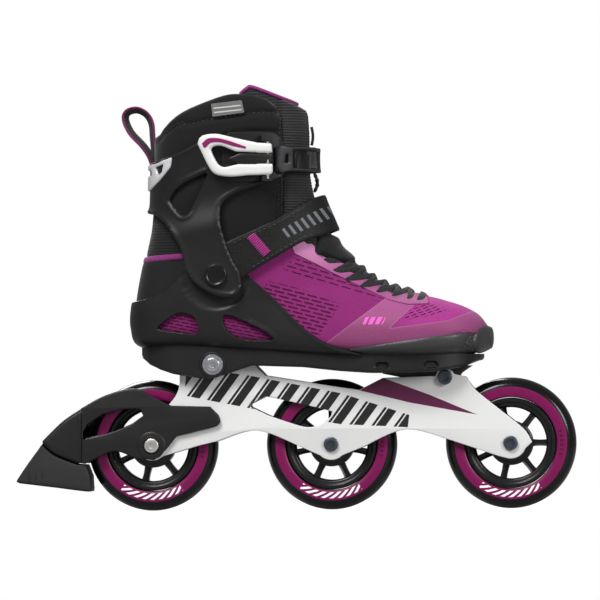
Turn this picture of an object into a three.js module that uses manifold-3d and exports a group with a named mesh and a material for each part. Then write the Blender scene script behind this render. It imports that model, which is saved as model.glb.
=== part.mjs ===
// Inline skate for the right foot: three wheels in an aluminium rail, a heel brake, a soft boot in a plastic
// shell, a cuff that pivots at the ankle, a top buckle and an instep strap.
// Millimetres. +X points to the toe, -Y to the outer side of the foot, +Z up. The origin is on the ground,
// under the middle axle.
import * as THREE from 'three';
import { mergeVertices } from 'three/addons/utils/BufferGeometryUtils.js';
import Module from 'manifold-3d';

const wasm = await Module();
wasm.setup();

// ---------------------------------------------------------------- driving dimensions
const CLEARANCE = 0.3;          // gap kept between neighbouring pieces

const WHEEL_RADIUS = 50;
const WHEEL_WIDTH = 24;
const TREAD_FLAT = 5;           // flat crown of the tyre, which stands on the ground
const WHEEL_SPACING = 137.16;   // from axle to axle
const HUB_RADIUS = 34.6;
const HUB_RIM = 7.4;            // radial depth of the hub's outer rim
const HUB_COLLAR = 17;
const HUB_WIDTH = 20;
const SPOKE_COUNT = 7;
const SPOKE_WIDTH = 5.5;
const SPOKE_DEPTH = 13;
const SPOKE_TURN = { rear: 0, middle: 12.9, front: 0 };   // degrees each wheel has come to rest at

const BEARING_RADIUS = 11;
const BEARING_WIDTH = 7;
const AXLE_RADIUS = 4;
const AXLE_HEAD_RADIUS = 5.6;
const AXLE_HEAD = 2.2;
const SPACER_WALL = 1.4;

const AXLE_LINE = 50;           // height of the axles in the outlines below
const RAIL_INSIDE = 15.2;       // from the middle plane to a side wall of the rail
const RAIL_WALL = 3;
const RAIL_BRIDGE = 4;
const AXLE_BOSS_RADIUS = 7;

const MOUNT_REAR = { x: -89.5, z: 111.5 };
const MOUNT_FRONT = { x: 87.5, z: 100.5 };
const MOUNT_BOLT_RADIUS = 3;
const MOUNT_HEAD_RADIUS = 5;
const MOUNT_WASHER_RADIUS = 8;
const EAR_THICKNESS = 5;

const BRAKE_ARM_WALL = 3.4;
const BRAKE_HALF_WIDTH = 20;
const BRAKE_WHEEL_GAP = 2.2;
const BRAKE_SCREW_RADIUS = 3;

const BOOT_HALF_WIDTH = 49;     // at the ball of the foot
const LEG_HALF_WIDTH = 46;      // at the top of the boot
const TOE_DRIFT = 6;            // how far the tip of the toe lies to the inner side
const SHELL_WALL = 3;
const UPPER_WALL = 4;
const COLLAR_PAD = 8;
const TONGUE_PAD = 11;
const CUFF_WALL = 3.1;
const PIVOT = { x: -85.5, z: 179.5 };
const PIVOT_RADIUS = 4;
const PIVOT_HEAD_RADIUS = 8.5;
const CUFF_STAND_OFF = 6.3;     // how far the cuff stands off the boot at the pivot
const FLEX_FORWARD = 8;         // degrees
const FLEX_BACK = 4;            // degrees

const STRAP_THICKNESS = 1.8;
const LACE_RADIUS = 1.4;
const BUCKLE_PIN = { x: -45, low: 252.5, high: 283, radius: 1.5 };

const TYRE_SEGMENTS = 28;
const RING_SEGMENTS = 20;       // facets round a section of the boot

// ---------------------------------------------------------------- solids
const degrees = THREE.MathUtils.degToRad;

function toSolid(geometry) {
  geometry.deleteAttribute('normal');
  geometry.deleteAttribute('uv');
  const merged = mergeVertices(geometry, 1e-5);
  const count = merged.attributes.position.count;
  const index = merged.index ? merged.index.array : [...Array(count).keys()];
  return new wasm.Manifold(new wasm.Mesh({
    numProp: 3,
    vertProperties: Float32Array.from(merged.attributes.position.array),
    triVerts: Uint32Array.from(index),
  }));
}

function toGeometry(solid) {
  const mesh = solid.getMesh();
  const geometry = new THREE.BufferGeometry();
  geometry.setAttribute('position', new THREE.BufferAttribute(mesh.vertProperties, 3));
  geometry.setIndex(new THREE.BufferAttribute(mesh.triVerts, 1));
  return geometry;
}

const unite = (...solids) => solids.reduce((sum, next) => sum.add(next));

// A round stretch of an outline, through its points.
const bend = (...points) => {
  const curve = new THREE.SplineCurve(points.map(([x, z]) => new THREE.Vector2(x, z)));
  return { points: curve.getPoints(2 * (points.length - 1)).map((p) => [p.x, p.y]) };
};

// An arc of an outline: centre, radius and the two angles in degrees.
const arc = (x, z, radius, from, to, steps = 8) => {
  const curve = new THREE.EllipseCurve(x, z, radius, radius, degrees(from), degrees(to), to < from);
  return { points: curve.getPoints(steps).map((p) => [p.x, p.y]) };
};

// A side-view outline from corners, bends and arcs.
const outline = (...parts) => parts.flatMap((part) => (part.points ? part.points : [part]));

function shapeOf(points) {
  return new THREE.Shape(points.map(([x, z]) => new THREE.Vector2(x, z)));
}

// Extrudes a side-view outline along Y, from y0 to y1.
function sheet(points, y0, y1, holes = []) {
  const shape = shapeOf(points);
  holes.forEach((hole) => shape.holes.push(new THREE.Path(shapeOf(hole).getPoints())));
  const geometry = new THREE.ExtrudeGeometry(shape, { depth: y1 - y0, bevelEnabled: false });
  return toSolid(geometry.rotateX(Math.PI / 2).translate(0, y1, 0));
}

const through = (points, holes) => sheet(points, -90, 90, holes);

function block(x0, x1, y0, y1, z0, z1) {
  const geometry = new THREE.BoxGeometry(x1 - x0, y1 - y0, z1 - z0);
  return toSolid(geometry.translate((x0 + x1) / 2, (y0 + y1) / 2, (z0 + z1) / 2));
}

// Extrudes a plan outline of [x, y] points along Z.
function column(points, z0, z1) {
  const geometry = new THREE.ExtrudeGeometry(shapeOf(points), { depth: z1 - z0, bevelEnabled: false });
  return toSolid(geometry.translate(0, 0, z0));
}

// A cylinder along Y.
function rod(at, radius, y0, y1, segments = 20) {
  const geometry = new THREE.CylinderGeometry(radius, radius, y1 - y0, segments);
  return toSolid(geometry.translate(at.x, (y0 + y1) / 2, at.z));
}

// A turned piece with its axis along Y, from a closed [radius, y] profile.
function turned(at, profile, segments) {
  const points = profile.map(([r, y]) => new THREE.Vector2(r, y));
  points.push(points[0].clone());
  const geometry = new THREE.LatheGeometry(points, segments, -Math.PI / segments);
  return toSolid(geometry.translate(at.x, 0, at.z));
}

const circle = (at, radius, segments = 20) =>
  [...Array(segments).keys()].map((i) => {
    const angle = (2 * Math.PI * i) / segments;
    return [at.x + radius * Math.cos(angle), at.z + radius * Math.sin(angle)];
  });

// Turns a solid about the ankle pivot; positive leans the cuff forward.
function lean(solid, angle) {
  return solid.translate([-PIVOT.x, 0, -PIVOT.z]).rotate([0, angle, 0]).translate([PIVOT.x, 0, PIVOT.z]);
}

// ---------------------------------------------------------------- assembly
const skate = new THREE.Group();
skate.name = 'inline_skate';
const chassis = new THREE.Group();
chassis.position.z = WHEEL_RADIUS - AXLE_LINE;
skate.add(chassis);

const MATERIALS = {
  tyre: [0x1a1519, 0.35, 0],
  hub: [0x1b1b1d, 0.45, 0],
  steel: [0x8d9094, 0.35, 1],
  darkSteel: [0x4c4f55, 0.4, 1],
  rail: [0xe4e4e2, 0.4, 0.2],
  plastic: [0x2a2a2c, 0.5, 0],
  rubber: [0x35363a, 0.75, 0],
  purple: [0x7c2060, 0.8, 0],
  textile: [0x232325, 0.9, 0],
  film: [0x8c3c74, 0.55, 0],
  white: [0xe8e8e6, 0.35, 0],
  grey: [0x56585b, 0.5, 0],
  lace: [0x1f1f21, 0.9, 0],
};

function place(name, solid, material) {
  const [color, roughness, metalness] = MATERIALS[material];
  const mesh = new THREE.Mesh(toGeometry(solid), new THREE.MeshStandardMaterial({ color, roughness, metalness }));
  mesh.name = name;
  chassis.add(mesh);
  return solid;
}

// ---------------------------------------------------------------- wheels
const AXLES = {
  rear: { x: -WHEEL_SPACING, z: AXLE_LINE },
  middle: { x: 0, z: AXLE_LINE },
  front: { x: WHEEL_SPACING, z: AXLE_LINE },
};
const RAIL_OUTSIDE = RAIL_INSIDE + RAIL_WALL;
const BRAKE_ARM_INSIDE = RAIL_OUTSIDE + CLEARANCE;
const BRAKE_ARM_OUTSIDE = BRAKE_ARM_INSIDE + BRAKE_ARM_WALL;

function tyre(at) {
  const half = WHEEL_WIDTH / 2;
  const tread = WHEEL_RADIUS / Math.cos(Math.PI / TYRE_SEGMENTS);   // its flat facet meets the ground
  const inside = HUB_RADIUS + CLEARANCE;
  const profile = [
    [inside, half - 1.5], [WHEEL_RADIUS - 8, half], [WHEEL_RADIUS - 2, half - 5], [tread, TREAD_FLAT / 2],
  ];
  const mirrored = profile.map(([r, y]) => [r, -y]);
  return turned(at, [...mirrored, ...profile.reverse()], TYRE_SEGMENTS);
}

function hub(at, turn) {
  const rimInside = HUB_RADIUS - HUB_RIM;
  const bore = BEARING_RADIUS + CLEARANCE;
  const ring = (r0, r1, half) => turned(at, [[r0, -half], [r1, -half], [r1, half], [r0, half]], 20);
  const rim = ring(rimInside, HUB_RADIUS, HUB_WIDTH / 2 - 1.5);
  const collar = ring(bore, HUB_COLLAR, HUB_WIDTH / 2 + 1.6);
  const spokes = [...Array(SPOKE_COUNT).keys()].map((i) => {
    const length = rimInside + 1.5 - (HUB_COLLAR - 1);
    const spoke = new THREE.BoxGeometry(length, SPOKE_DEPTH, SPOKE_WIDTH);
    spoke.translate(HUB_COLLAR - 1 + length / 2, 0, 0).rotateY((2 * Math.PI * i) / SPOKE_COUNT + degrees(turn));
    return toSolid(spoke.translate(at.x, 0, at.z));
  });
  return unite(rim, collar, ...spokes);
}

function bearing(at, side) {
  const bore = AXLE_RADIUS + CLEARANCE;
  const outer = WHEEL_WIDTH / 2;
  const ends = [side * outer, side * (outer - BEARING_WIDTH)].sort((a, b) => a - b);
  const profile = [[bore, ends[0]], [BEARING_RADIUS, ends[0]], [BEARING_RADIUS, ends[1]], [bore, ends[1]]];
  return turned(at, profile, 16);
}

function spacer(at) {
  const bore = AXLE_RADIUS + CLEARANCE;
  const half = WHEEL_WIDTH / 2 - BEARING_WIDTH - CLEARANCE;
  const outer = bore + SPACER_WALL;
  return turned(at, [[bore, -half], [outer, -half], [outer, half], [bore, half]], 12);
}

// The axle bolt passes from head to head through whatever it clamps.
function axle(at, clampHalf) {
  const seat = clampHalf + CLEARANCE;
  const head = (side) => {
    const ends = [side * seat, side * (seat + AXLE_HEAD)].sort((a, b) => a - b);
    return rod(at, AXLE_HEAD_RADIUS, ends[0], ends[1], 14);
  };
  return unite(rod(at, AXLE_RADIUS, -seat - 0.5, seat + 0.5, 12), head(-1), head(1));
}

for (const [name, at] of Object.entries(AXLES)) {
  place(`tyre_${name}`, tyre(at), 'tyre');
  place(`hub_${name}`, hub(at, SPOKE_TURN[name]), 'hub');
  place(`bearing_${name}_outer_side`, bearing(at, -1), 'steel');
  place(`bearing_${name}_inner_side`, bearing(at, 1), 'steel');
  place(`bearing_spacer_${name}`, spacer(at), 'steel');
  place(`axle_${name}`, axle(at, name === 'rear' ? BRAKE_ARM_OUTSIDE : RAIL_OUTSIDE), 'darkSteel');
}

// ---------------------------------------------------------------- rail
// The stretch of the rail beyond its two mounts moves with the end axles.
const NOMINAL_SPACING = 137.16;
function reach(points) {
  const shift = WHEEL_SPACING - NOMINAL_SPACING;
  return points.map(([x, z]) => [x + Math.sign(x) * shift * Math.min(Math.max((Math.abs(x) - 100) / 25, 0), 1), z]);
}

const EAR_RADIUS = 7.3;
const railSide = reach(outline(
  arc(-NOMINAL_SPACING, AXLE_LINE, 11.5, 150, 290), [-128, 42], [-100, 50],
  bend([-87, 53], [-57, 61], [-25, 49]), arc(0, AXLE_LINE, 12, 225, 315, 4),
  bend([25, 48], [57, 61], [90, 53]), [128, 40], arc(NOMINAL_SPACING, AXLE_LINE, 12, 262, 340, 4),
  bend([153.5, 50.5], [147, 61], [125, 79], [110, 91.5], [103, 101]),
  arc(MOUNT_FRONT.x, MOUNT_FRONT.z, EAR_RADIUS, 20, 170, 6), [40, 100.5], bend([22, 91.5], [0, 94.8], [-50, 103]),
  [-58, 111.5], [-78, 119], [-101, 119], [-115.5, 104], bend([-115.5, 98], [-118, 89], [-125, 80]),
));
const railWindow = outline(
  bend([1, 75], [-10, 78], [-38, 84.5], [-50, 87]), [-62, 81], [-62, 79],
  bend([-48, 72.5], [-20, 63.5], [-7, 66], [0, 71.5]),
);

function rail() {
  const wall = (side) => {
    const ends = [side * RAIL_INSIDE, side * RAIL_OUTSIDE].sort((a, b) => a - b);
    return sheet(railSide, ends[0], ends[1], [railWindow]);
  };
  const bossHalf = WHEEL_WIDTH / 2 + CLEARANCE;
  const bosses = Object.values(AXLES).flatMap((at) => [
    rod(at, AXLE_BOSS_RADIUS, bossHalf, RAIL_INSIDE + 0.5, 14),
    rod(at, AXLE_BOSS_RADIUS, -RAIL_INSIDE - 0.5, -bossHalf, 14),
  ]);
  const half = RAIL_INSIDE + 0.5;
  const bridges = [
    block(-94, -44, -half, half, 88, 88 + RAIL_BRIDGE),
    block(44, 92, -half, half, 84, 84 + RAIL_BRIDGE),
  ];
  const bores = Object.values(AXLES).map((at) => rod(at, AXLE_RADIUS + CLEARANCE, -30, 30, 12));
  const mounts = [MOUNT_REAR, MOUNT_FRONT].map((at) => rod(at, MOUNT_BOLT_RADIUS + CLEARANCE, -30, 30, 12));
  return unite(wall(-1), wall(1), ...bridges, ...bosses).subtract(unite(...bores, ...mounts));
}
place('rail', rail(), 'rail');

// ---------------------------------------------------------------- brake
const brakeSide = outline(
  [-85.5, 73], [-92, 79.5], bend([-122, 80.5], [-135, 87], [-150, 93.8], [-172, 89], [-205, 69.5], [-221, 54]),
  bend([-221, 52], [-212, 44], [-195, 37], [-188, 36.5]), bend([-178, 41.5], [-165, 46], [-150, 40.5]),
  bend([-135, 39], [-126, 47], [-118, 57]), [-92, 63],
);
const brakeWindow = outline(
  [-190, 58], [-184, 68], bend([-175, 74], [-160, 77.6], [-146, 78]), [-143.5, 73],
  bend([-152, 67], [-170, 60], [-188, 56]),
);
const padSide = outline(
  [-221, 52.6], [-241, 24.5], [-237, 21.5], [-187, 15], [-183, 20], [-183, 27], [-187.5, 36],
  bend([-195, 36.4], [-212, 43.4], [-221, 51.4]),
);
const BRAKE_SCREW = { x: -210, low: 27, high: 60 };
const shiftRear = (points) => points.map(([x, z]) => [x - (WHEEL_SPACING - NOMINAL_SPACING), z]);
const wheelRoom = (at) => rod(at, WHEEL_RADIUS + BRAKE_WHEEL_GAP, -WHEEL_WIDTH / 2 - 2, WHEEL_WIDTH / 2 + 2, 36);

function brakeScrewRod(radius, low, high, segments = 12) {
  const geometry = new THREE.CylinderGeometry(radius, radius, high - low, segments).rotateX(Math.PI / 2);
  const x = BRAKE_SCREW.x - (WHEEL_SPACING - NOMINAL_SPACING);
  return toSolid(geometry.translate(x, 0, (low + high) / 2));
}

function brakeArm() {
  const side = shiftRear(brakeSide);
  const cheeks = sheet(side, -BRAKE_ARM_OUTSIDE, BRAKE_ARM_OUTSIDE, [shiftRear(brakeWindow)]);
  const shift = WHEEL_SPACING - NOMINAL_SPACING;
  const inside = unite(
    block(-188.5 - shift, -60, -BRAKE_ARM_INSIDE, BRAKE_ARM_INSIDE, 0, 120),
    wheelRoom(AXLES.rear),
  );
  const bore = rod(AXLES.rear, AXLE_RADIUS + CLEARANCE, -40, 40, 16);
  const screwHole = brakeScrewRod(BRAKE_SCREW_RADIUS + CLEARANCE, 0, BRAKE_SCREW.high + CLEARANCE);
  return cheeks.subtract(unite(inside, bore, screwHole));
}
place('brake_arm', brakeArm(), 'plastic');

function brakePad() {
  const body = sheet(shiftRear(padSide), -BRAKE_HALF_WIDTH, BRAKE_HALF_WIDTH);
  const hole = brakeScrewRod(BRAKE_SCREW_RADIUS + CLEARANCE, BRAKE_SCREW.low - 5, 80);
  const headHole = brakeScrewRod(BRAKE_SCREW_RADIUS + 3 + CLEARANCE, 0, BRAKE_SCREW.low + CLEARANCE);
  return body.subtract(unite(wheelRoom(AXLES.rear), hole, headHole));
}
place('brake_pad', brakePad(), 'rubber');
place('brake_pad_screw', unite(
  brakeScrewRod(BRAKE_SCREW_RADIUS, BRAKE_SCREW.low - 1, BRAKE_SCREW.high),
  brakeScrewRod(BRAKE_SCREW_RADIUS + 3, BRAKE_SCREW.low - 4, BRAKE_SCREW.low),
), 'steel');

// ---------------------------------------------------------------- boot form
// The boot is a row of flat sections that fan from the level top of the leg to the upright toe. Each runs from
// a point on the front of the boot to a point on its back or sole: [front x, z, back x, z, half width,
// widest point from 0 (front) to 1 (back), squareness in front, squareness behind, forward push at the toe].
const SECTIONS = [
  [-19, 334, -133, 334, 47, 0.5, 0.9, 0.85, 0],
  [-15.5, 290, -134, 290, 46, 0.5, 0.9, 0.85, 0],
  [-15.5, 262, -134.5, 255, 44, 0.5, 0.9, 0.85, 0],
  [-12, 240, -136, 222, 41, 0.5, 0.9, 0.85, 0],
  [-6, 224, -141, 196, 38, 0.5, 0.9, 0.8, 0],
  [2, 206, -147, 165, 37, 0.52, 0.9, 0.75, 0],
  [12, 193, -148.5, 142, 36.5, 0.54, 0.9, 0.7, 0],
  [22, 184.5, -140, 127, 36, 0.56, 0.9, 0.65, 0],
  [31, 177.5, -100, 124, 36, 0.58, 0.9, 0.6, 0],
  [41, 172, -50, 121, 37.5, 0.6, 0.9, 0.55, 0],
  [52, 168, 0, 118.5, 41.5, 0.62, 0.9, 0.5, 0],
  [66, 164.5, 40, 117.5, 46.5, 0.64, 0.85, 0.5, 0],
  [84, 160.5, 72, 117.5, 49, 0.64, 0.8, 0.5, 0],
  [100, 154.5, 96, 118.5, 44.5, 0.62, 0.8, 0.55, 0.2],
  [112, 146.5, 111, 120.5, 32, 0.6, 0.8, 0.6, 0.7],
  [119, 137, 119, 125, 13, 0.55, 0.85, 0.8, 1],
];
const FOOT = { start: 7, ball: 12 };    // sections where the foot begins and where it is widest

// Widths follow the two driving half widths, one for the foot and one for the leg.
function sectionWidth(i, width) {
  const foot = Math.min(Math.max((i - FOOT.start) / (FOOT.ball - FOOT.start), 0), 1);
  const leg = Math.min(Math.max((5 - i) / 4, 0), 1);
  return width + foot * (BOOT_HALF_WIDTH - 49) + leg * (LEG_HALF_WIDTH - 46);
}

function catmull(a, b, c, d, u) {
  return 0.5 * (2 * b + (c - a) * u + (2 * a - 5 * b + 4 * c - d) * u * u + (3 * b - a - 3 * c + d) * u ** 3);
}

function section(t) {
  const last = SECTIONS.length - 1;
  const i = Math.min(Math.floor(t), last - 1);
  const rows = [i - 1, i, i + 1, i + 2].map((k) => {
    const at = Math.min(Math.max(k, 0), last);
    const row = [...SECTIONS[at]];
    row[4] = sectionWidth(at, row[4]);
    return row;
  });
  return rows[0].map((_, k) => catmull(rows[0][k], rows[1][k], rows[2][k], rows[3][k], t - i));
}

// The toes curve to the inner side ahead of the instep.
function drift(x) {
  return TOE_DRIFT * Math.min(Math.max((x - 10) / 109, 0), 1) ** 2;
}

// A point of the boot at section t and angle theta (0 front, pi back), at a distance off the soft boot.
function bootPoint(t, theta, offset) {
  const [fx, fz, bx, bz, width, widest, squareFront, squareBack, push] = section(t);
  const length = Math.hypot(bx - fx, bz - fz);
  const dir = [(bx - fx) / length, (bz - fz) / length];
  const c = Math.cos(theta);
  const s = Math.sin(theta);
  const square = c > 0 ? squareFront : squareBack;
  const half = c > 0 ? widest * length + offset : (1 - widest) * length + offset;
  const along = widest * length - Math.sign(c) * Math.abs(c) ** square * half;
  const x = fx + dir[0] * along + push * offset;
  const y = drift(x) - Math.sign(s) * Math.abs(s) ** square * (width + offset);
  return [x, y, fz + dir[1] * along];
}

const STEPS = [0, 2, 2.6, 3.1, 3.6, 4.3, 5, 5.7, 6.4, 7, 7.6, 8.3, 9, 10, 11, 12, 13, 13.7, 14.3, 14.7, 15];

// A closed solid through rings of points, with flat ends.
function loft(rings) {
  const size = rings[0].length;
  const positions = rings.flat(2);
  const faces = [];
  const centre = (ring) => ring.reduce((sum, p) => sum.map((v, k) => v + p[k] / size), [0, 0, 0]);
  const ends = [rings[0], rings[rings.length - 1]].map(centre);
  const first = rings.length * size;
  positions.push(...ends[0], ...ends[1]);
  for (let j = 0; j < size; j += 1) {
    const k = (j + 1) % size;
    for (let i = 0; i + 1 < rings.length; i += 1) {
      const [a, b, c, d] = [i * size + j, i * size + k, (i + 1) * size + j, (i + 1) * size + k];
      faces.push(a, b, c, b, d, c);
    }
    const top = (rings.length - 1) * size;
    faces.push(first, k, j, first + 1, top + j, top + k);
  }
  const geometry = new THREE.BufferGeometry();
  geometry.setAttribute('position', new THREE.Float32BufferAttribute(positions, 3));
  geometry.setIndex(faces);
  return toSolid(geometry);
}

// The boot's volume out to an offset, which may change with the section.
const bootCache = new Map();
function boot(offset, from = 0, to = SECTIONS.length - 1) {
  const key = `${offset}/${from}/${to}`;
  if (!bootCache.has(key)) {
    const steps = STEPS.filter((t) => t >= from && t <= to);
    const rings = steps.map((t) => [...Array(RING_SEGMENTS).keys()].map((j) =>
      bootPoint(t, (2 * Math.PI * j) / RING_SEGMENTS, typeof offset === 'function' ? offset(t) : offset)));
    bootCache.set(key, loft(rings));
  }
  return bootCache.get(key);
}

// A skin of the boot between two offsets.
const skin = (inner, outer, from, to) => boot(outer, from, to).subtract(boot(inner, from, to));

// How far the boot's outer side lies from the middle plane at a place in the side view.
function sideReach(x, z, offset) {
  let best = [Infinity, 0];
  for (let t = 0; t <= 15; t += 0.1) {
    for (let a = 0; a <= 180; a += 3) {
      const p = bootPoint(t, degrees(a), offset);
      const miss = Math.hypot(p[0] - x, p[2] - z);
      if (miss < best[0]) best = [miss, -p[1]];
    }
  }
  return best[1];
}

// ---------------------------------------------------------------- shell and sole
const SHELL_OFFSET = 0.4;
const SHELL_OUT = SHELL_OFFSET + SHELL_WALL;
const shellSide = outline(
  [-152, 159.5], bend([-160, 150], [-160, 128], [-150, 112]), [-135, 111.5], [-120, 106.5],
  bend([-105, 102.5], [-93, 100.5], [-78, 105]),
  bend([-60, 111.5], [-20, 110.5], [8, 106.5], [50, 101.5]), [80, 95], [94, 95], [100, 104], [113, 113],
  [130, 116.8], [75, 116.2], bend([30, 117], [5, 123], [-15, 135], [-40, 160], [-62, 180]),
  arc(PIVOT.x, PIVOT.z, 17, 30, 150, 6), [-111, 184], bend([-115, 177], [-128, 166], [-145, 161]), [-152, 159.8],
);
const shellRearWindow = outline(
  bend([-133, 139.5], [-120, 149], [-112, 151.5], [-103, 148.5]), bend([-99.5, 138], [-102, 134.6], [-125, 137]),
);
const shellFrontWindow = outline(
  bend([-81, 149.5], [-72, 148], [-50, 137.5], [-42, 131.5]), bend([-45, 129.5], [-68, 130.5], [-79, 138]),
);
const soleEdge = [
  [121, 0], [117, 20], [104, 35], [78, 42], [40, 40], [0, 35],
  [-50, 31], [-100, 31], [-134, 27], [-148, 14], [-151, 0],
];
const solePlan = outline(
  bend(...soleEdge), bend(...soleEdge.slice(0, -1).reverse().map(([x, y]) => [x, -y])),
).map(([x, y]) => [x, y + drift(x)]);
const SOLE_HALF = 30;
const RAIL_SLOT = RAIL_OUTSIDE + CLEARANCE;

function shell() {
  const sole = unite(
    sheet([[-128, 112], [-100, 98], [-60, 104], [60, 96], [104, 96], [113, 118], [-128, 127]], -SOLE_HALF, SOLE_HALF),
    sheet([[-20, 104], [104, 96], [112, 119], [-20, 119]], -SOLE_HALF - 15, SOLE_HALF + 15),
  ).intersect(column(solePlan, 80, 140));
  const body = unite(boot(SHELL_OUT), sole).subtract(boot(SHELL_OFFSET)).intersect(through(shellSide));
  const windows = [shellRearWindow, shellFrontWindow].map((points) => through(points));
  // the rail's walls stand in slots; the rear ears lie outside them and the front lug between them
  const slot = (side, x0, x1, top, bottom) => {
    const ends = [side * (RAIL_INSIDE - CLEARANCE), side * RAIL_SLOT].sort((a, b) => a - b);
    return block(x0, x1, ends[0], ends[1], bottom, top);
  };
  const slotStart = -118 - (WHEEL_SPACING - NOMINAL_SPACING);
  const rearSlots = [-1, 1].map((side) => slot(side, slotStart, -54, 119 + CLEARANCE, 90));
  const frontRoom = (side) => {
    const ends = [side * (RAIL_INSIDE - CLEARANCE), side * 60].sort((a, b) => a - b);
    return block(24, 112, ends[0], ends[1], 80, MOUNT_FRONT.z + EAR_RADIUS + CLEARANCE);
  };
  const wheelArch = rod(AXLES.middle, WHEEL_RADIUS + 3, -WHEEL_WIDTH / 2 - 3, WHEEL_WIDTH / 2 + 3, 36);
  const holes = [
    rod(PIVOT, PIVOT_RADIUS + CLEARANCE, -80, 80, 16),
    rod(MOUNT_REAR, MOUNT_BOLT_RADIUS + CLEARANCE, -80, 80, 12),
    rod(MOUNT_FRONT, MOUNT_BOLT_RADIUS + CLEARANCE, -80, 80, 12),
    rod(MOUNT_REAR, MOUNT_WASHER_RADIUS + 1, -80, -RAIL_SLOT - EAR_THICKNESS, 16),
    rod(MOUNT_REAR, MOUNT_WASHER_RADIUS + 1, RAIL_SLOT + EAR_THICKNESS, 80, 16),
  ];
  return body.subtract(unite(...windows, ...rearSlots, frontRoom(-1), frontRoom(1), wheelArch, ...holes));
}
place('shell', shell(), 'plastic');

// Bolts that hold the rail to the shell, from side to side.
function mountBolt(at, seat) {
  return unite(
    rod(at, MOUNT_BOLT_RADIUS, -seat - 1, seat + 5, 12),
    rod(at, MOUNT_HEAD_RADIUS, -seat - 4, -seat, 16),
  );
}
function ringPart(at, inner, outer, y0, y1) {
  return turned(at, [[inner, y0], [outer, y0], [outer, y1], [inner, y1]], 16);
}
const REAR_SEAT = RAIL_SLOT + EAR_THICKNESS;
const WASHER = 1.2;
place('mount_washer_rear', ringPart(MOUNT_REAR, MOUNT_BOLT_RADIUS + CLEARANCE, MOUNT_WASHER_RADIUS,
  -REAR_SEAT - CLEARANCE - WASHER, -REAR_SEAT - CLEARANCE), 'darkSteel');
place('mount_bolt_rear', mountBolt(MOUNT_REAR, REAR_SEAT + 2 * CLEARANCE + WASHER), 'steel');
place('mount_nut_rear', ringPart(MOUNT_REAR, MOUNT_BOLT_RADIUS + CLEARANCE, MOUNT_HEAD_RADIUS + 0.5,
  REAR_SEAT + CLEARANCE, REAR_SEAT + 4), 'steel');
place('mount_bolt_front', mountBolt(MOUNT_FRONT, RAIL_OUTSIDE + CLEARANCE), 'steel');
place('mount_nut_front', ringPart(MOUNT_FRONT, MOUNT_BOLT_RADIUS + CLEARANCE, MOUNT_HEAD_RADIUS + 0.5,
  RAIL_OUTSIDE + CLEARANCE, RAIL_OUTSIDE + 4), 'steel');

const randSide = outline(
  [14, 121.6], bend([20, 122.2], [50, 127], [100, 134], [135, 136]), [135, 117.6], [42, 117.6], [27, 118.9],
);
const RAND_OUT = 2.2;
place('toe_rand', skin(SHELL_OFFSET, RAND_OUT, 8, 15).intersect(through(randSide)), 'rubber');
const bumperSide = outline(
  [112.5, 135], bend([115, 139], [120, 141.5], [135, 140]), [135, 117.6], [116, 117.6],
);
place('toe_bumper', skin(RAND_OUT + CLEARANCE, RAND_OUT + 2.3, 11, 15).intersect(through(bumperSide)), 'rubber');

// ---------------------------------------------------------------- soft boot
// The soft boot is parted along rays from the ankle pivot, so that its upper part leans with the cuff.
const SPLIT = { front: 21, back: 165, radius: 14 };
function rays(fromAngle, toAngle, radius) {
  const far = 400;
  const at = (angle) => [PIVOT.x + far * Math.cos(degrees(angle)), PIVOT.z + far * Math.sin(degrees(angle))];
  const middle = (fromAngle + toAngle) / 2;
  return outline(arc(PIVOT.x, PIVOT.z, radius, toAngle, fromAngle, 6), at(fromAngle), at(middle), at(toAngle));
}
const legRoom = through(rays(SPLIT.front, SPLIT.back, SPLIT.radius));
const legPart = through(rays(SPLIT.front + FLEX_FORWARD + 1.5, SPLIT.back - FLEX_BACK - 0.7, SPLIT.radius + 1));

const throatLine = [
  [-40, 215], [-17, 203], [-2, 193], [14.5, 185], [24, 178], [38, 171], [49, 165], [62, 164.5], [67, 163],
];
const throat = outline(...throatLine, [70, 200], [10, 260], [-60, 260]);
const throatInside = throat.map(([x, z], i) => (i < throatLine.length ? [x + 0.2, z + 0.5] : [x, z]));

const counterSide = outline(
  [-150, 150], [-170, 150], [-170, 195], bend([-146, 195], [-130, 197], [-112, 198]), [-108, 150],
);
const COUNTER_WALL = 1.5;

function upper() {
  const counterRoom = skin(-COUNTER_WALL - CLEARANCE, 1, 3, 9).intersect(through(counterSide));
  return skin(-UPPER_WALL, 0).subtract(unite(legRoom, through(throat), counterRoom));
}
place('upper', upper(), 'purple');

const counterTrim = counterSide.map(([x, z]) => [Math.min(x, -108.4), Math.max(z, 150.4) - (z > 190 ? 0.4 : 0)]);
place('heel_counter', skin(-COUNTER_WALL, 0, 3, 9).intersect(through(counterTrim)).subtract(legRoom), 'rubber');

place('tongue_lower', skin(-5.5, -1.2, 3, 12).intersect(through(throatInside)).subtract(legRoom), 'textile');

const footbedTop = [[-150, 134], [-80, 133], [-10, 126.5], [118, 125.5]];
const padTop = [[-132, 131], [-88, 130]];
function footbed() {
  const overPad = padTop.map(([x, z]) => [x, z + CLEARANCE]).reverse();
  const room = [...footbedTop, [118, 118], [-84, 118], [-84, 130.2], ...overPad, [-150, 131.3]];
  return boot(-UPPER_WALL - 0.9, 5, 14).intersect(through(room));
}
place('footbed', footbed(), 'textile');
place('heel_shock_pad', boot(-UPPER_WALL - 0.9, 5, 10).intersect(
  through([...padTop, [-85, 118], [-132, 118]])), 'rubber');

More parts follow.
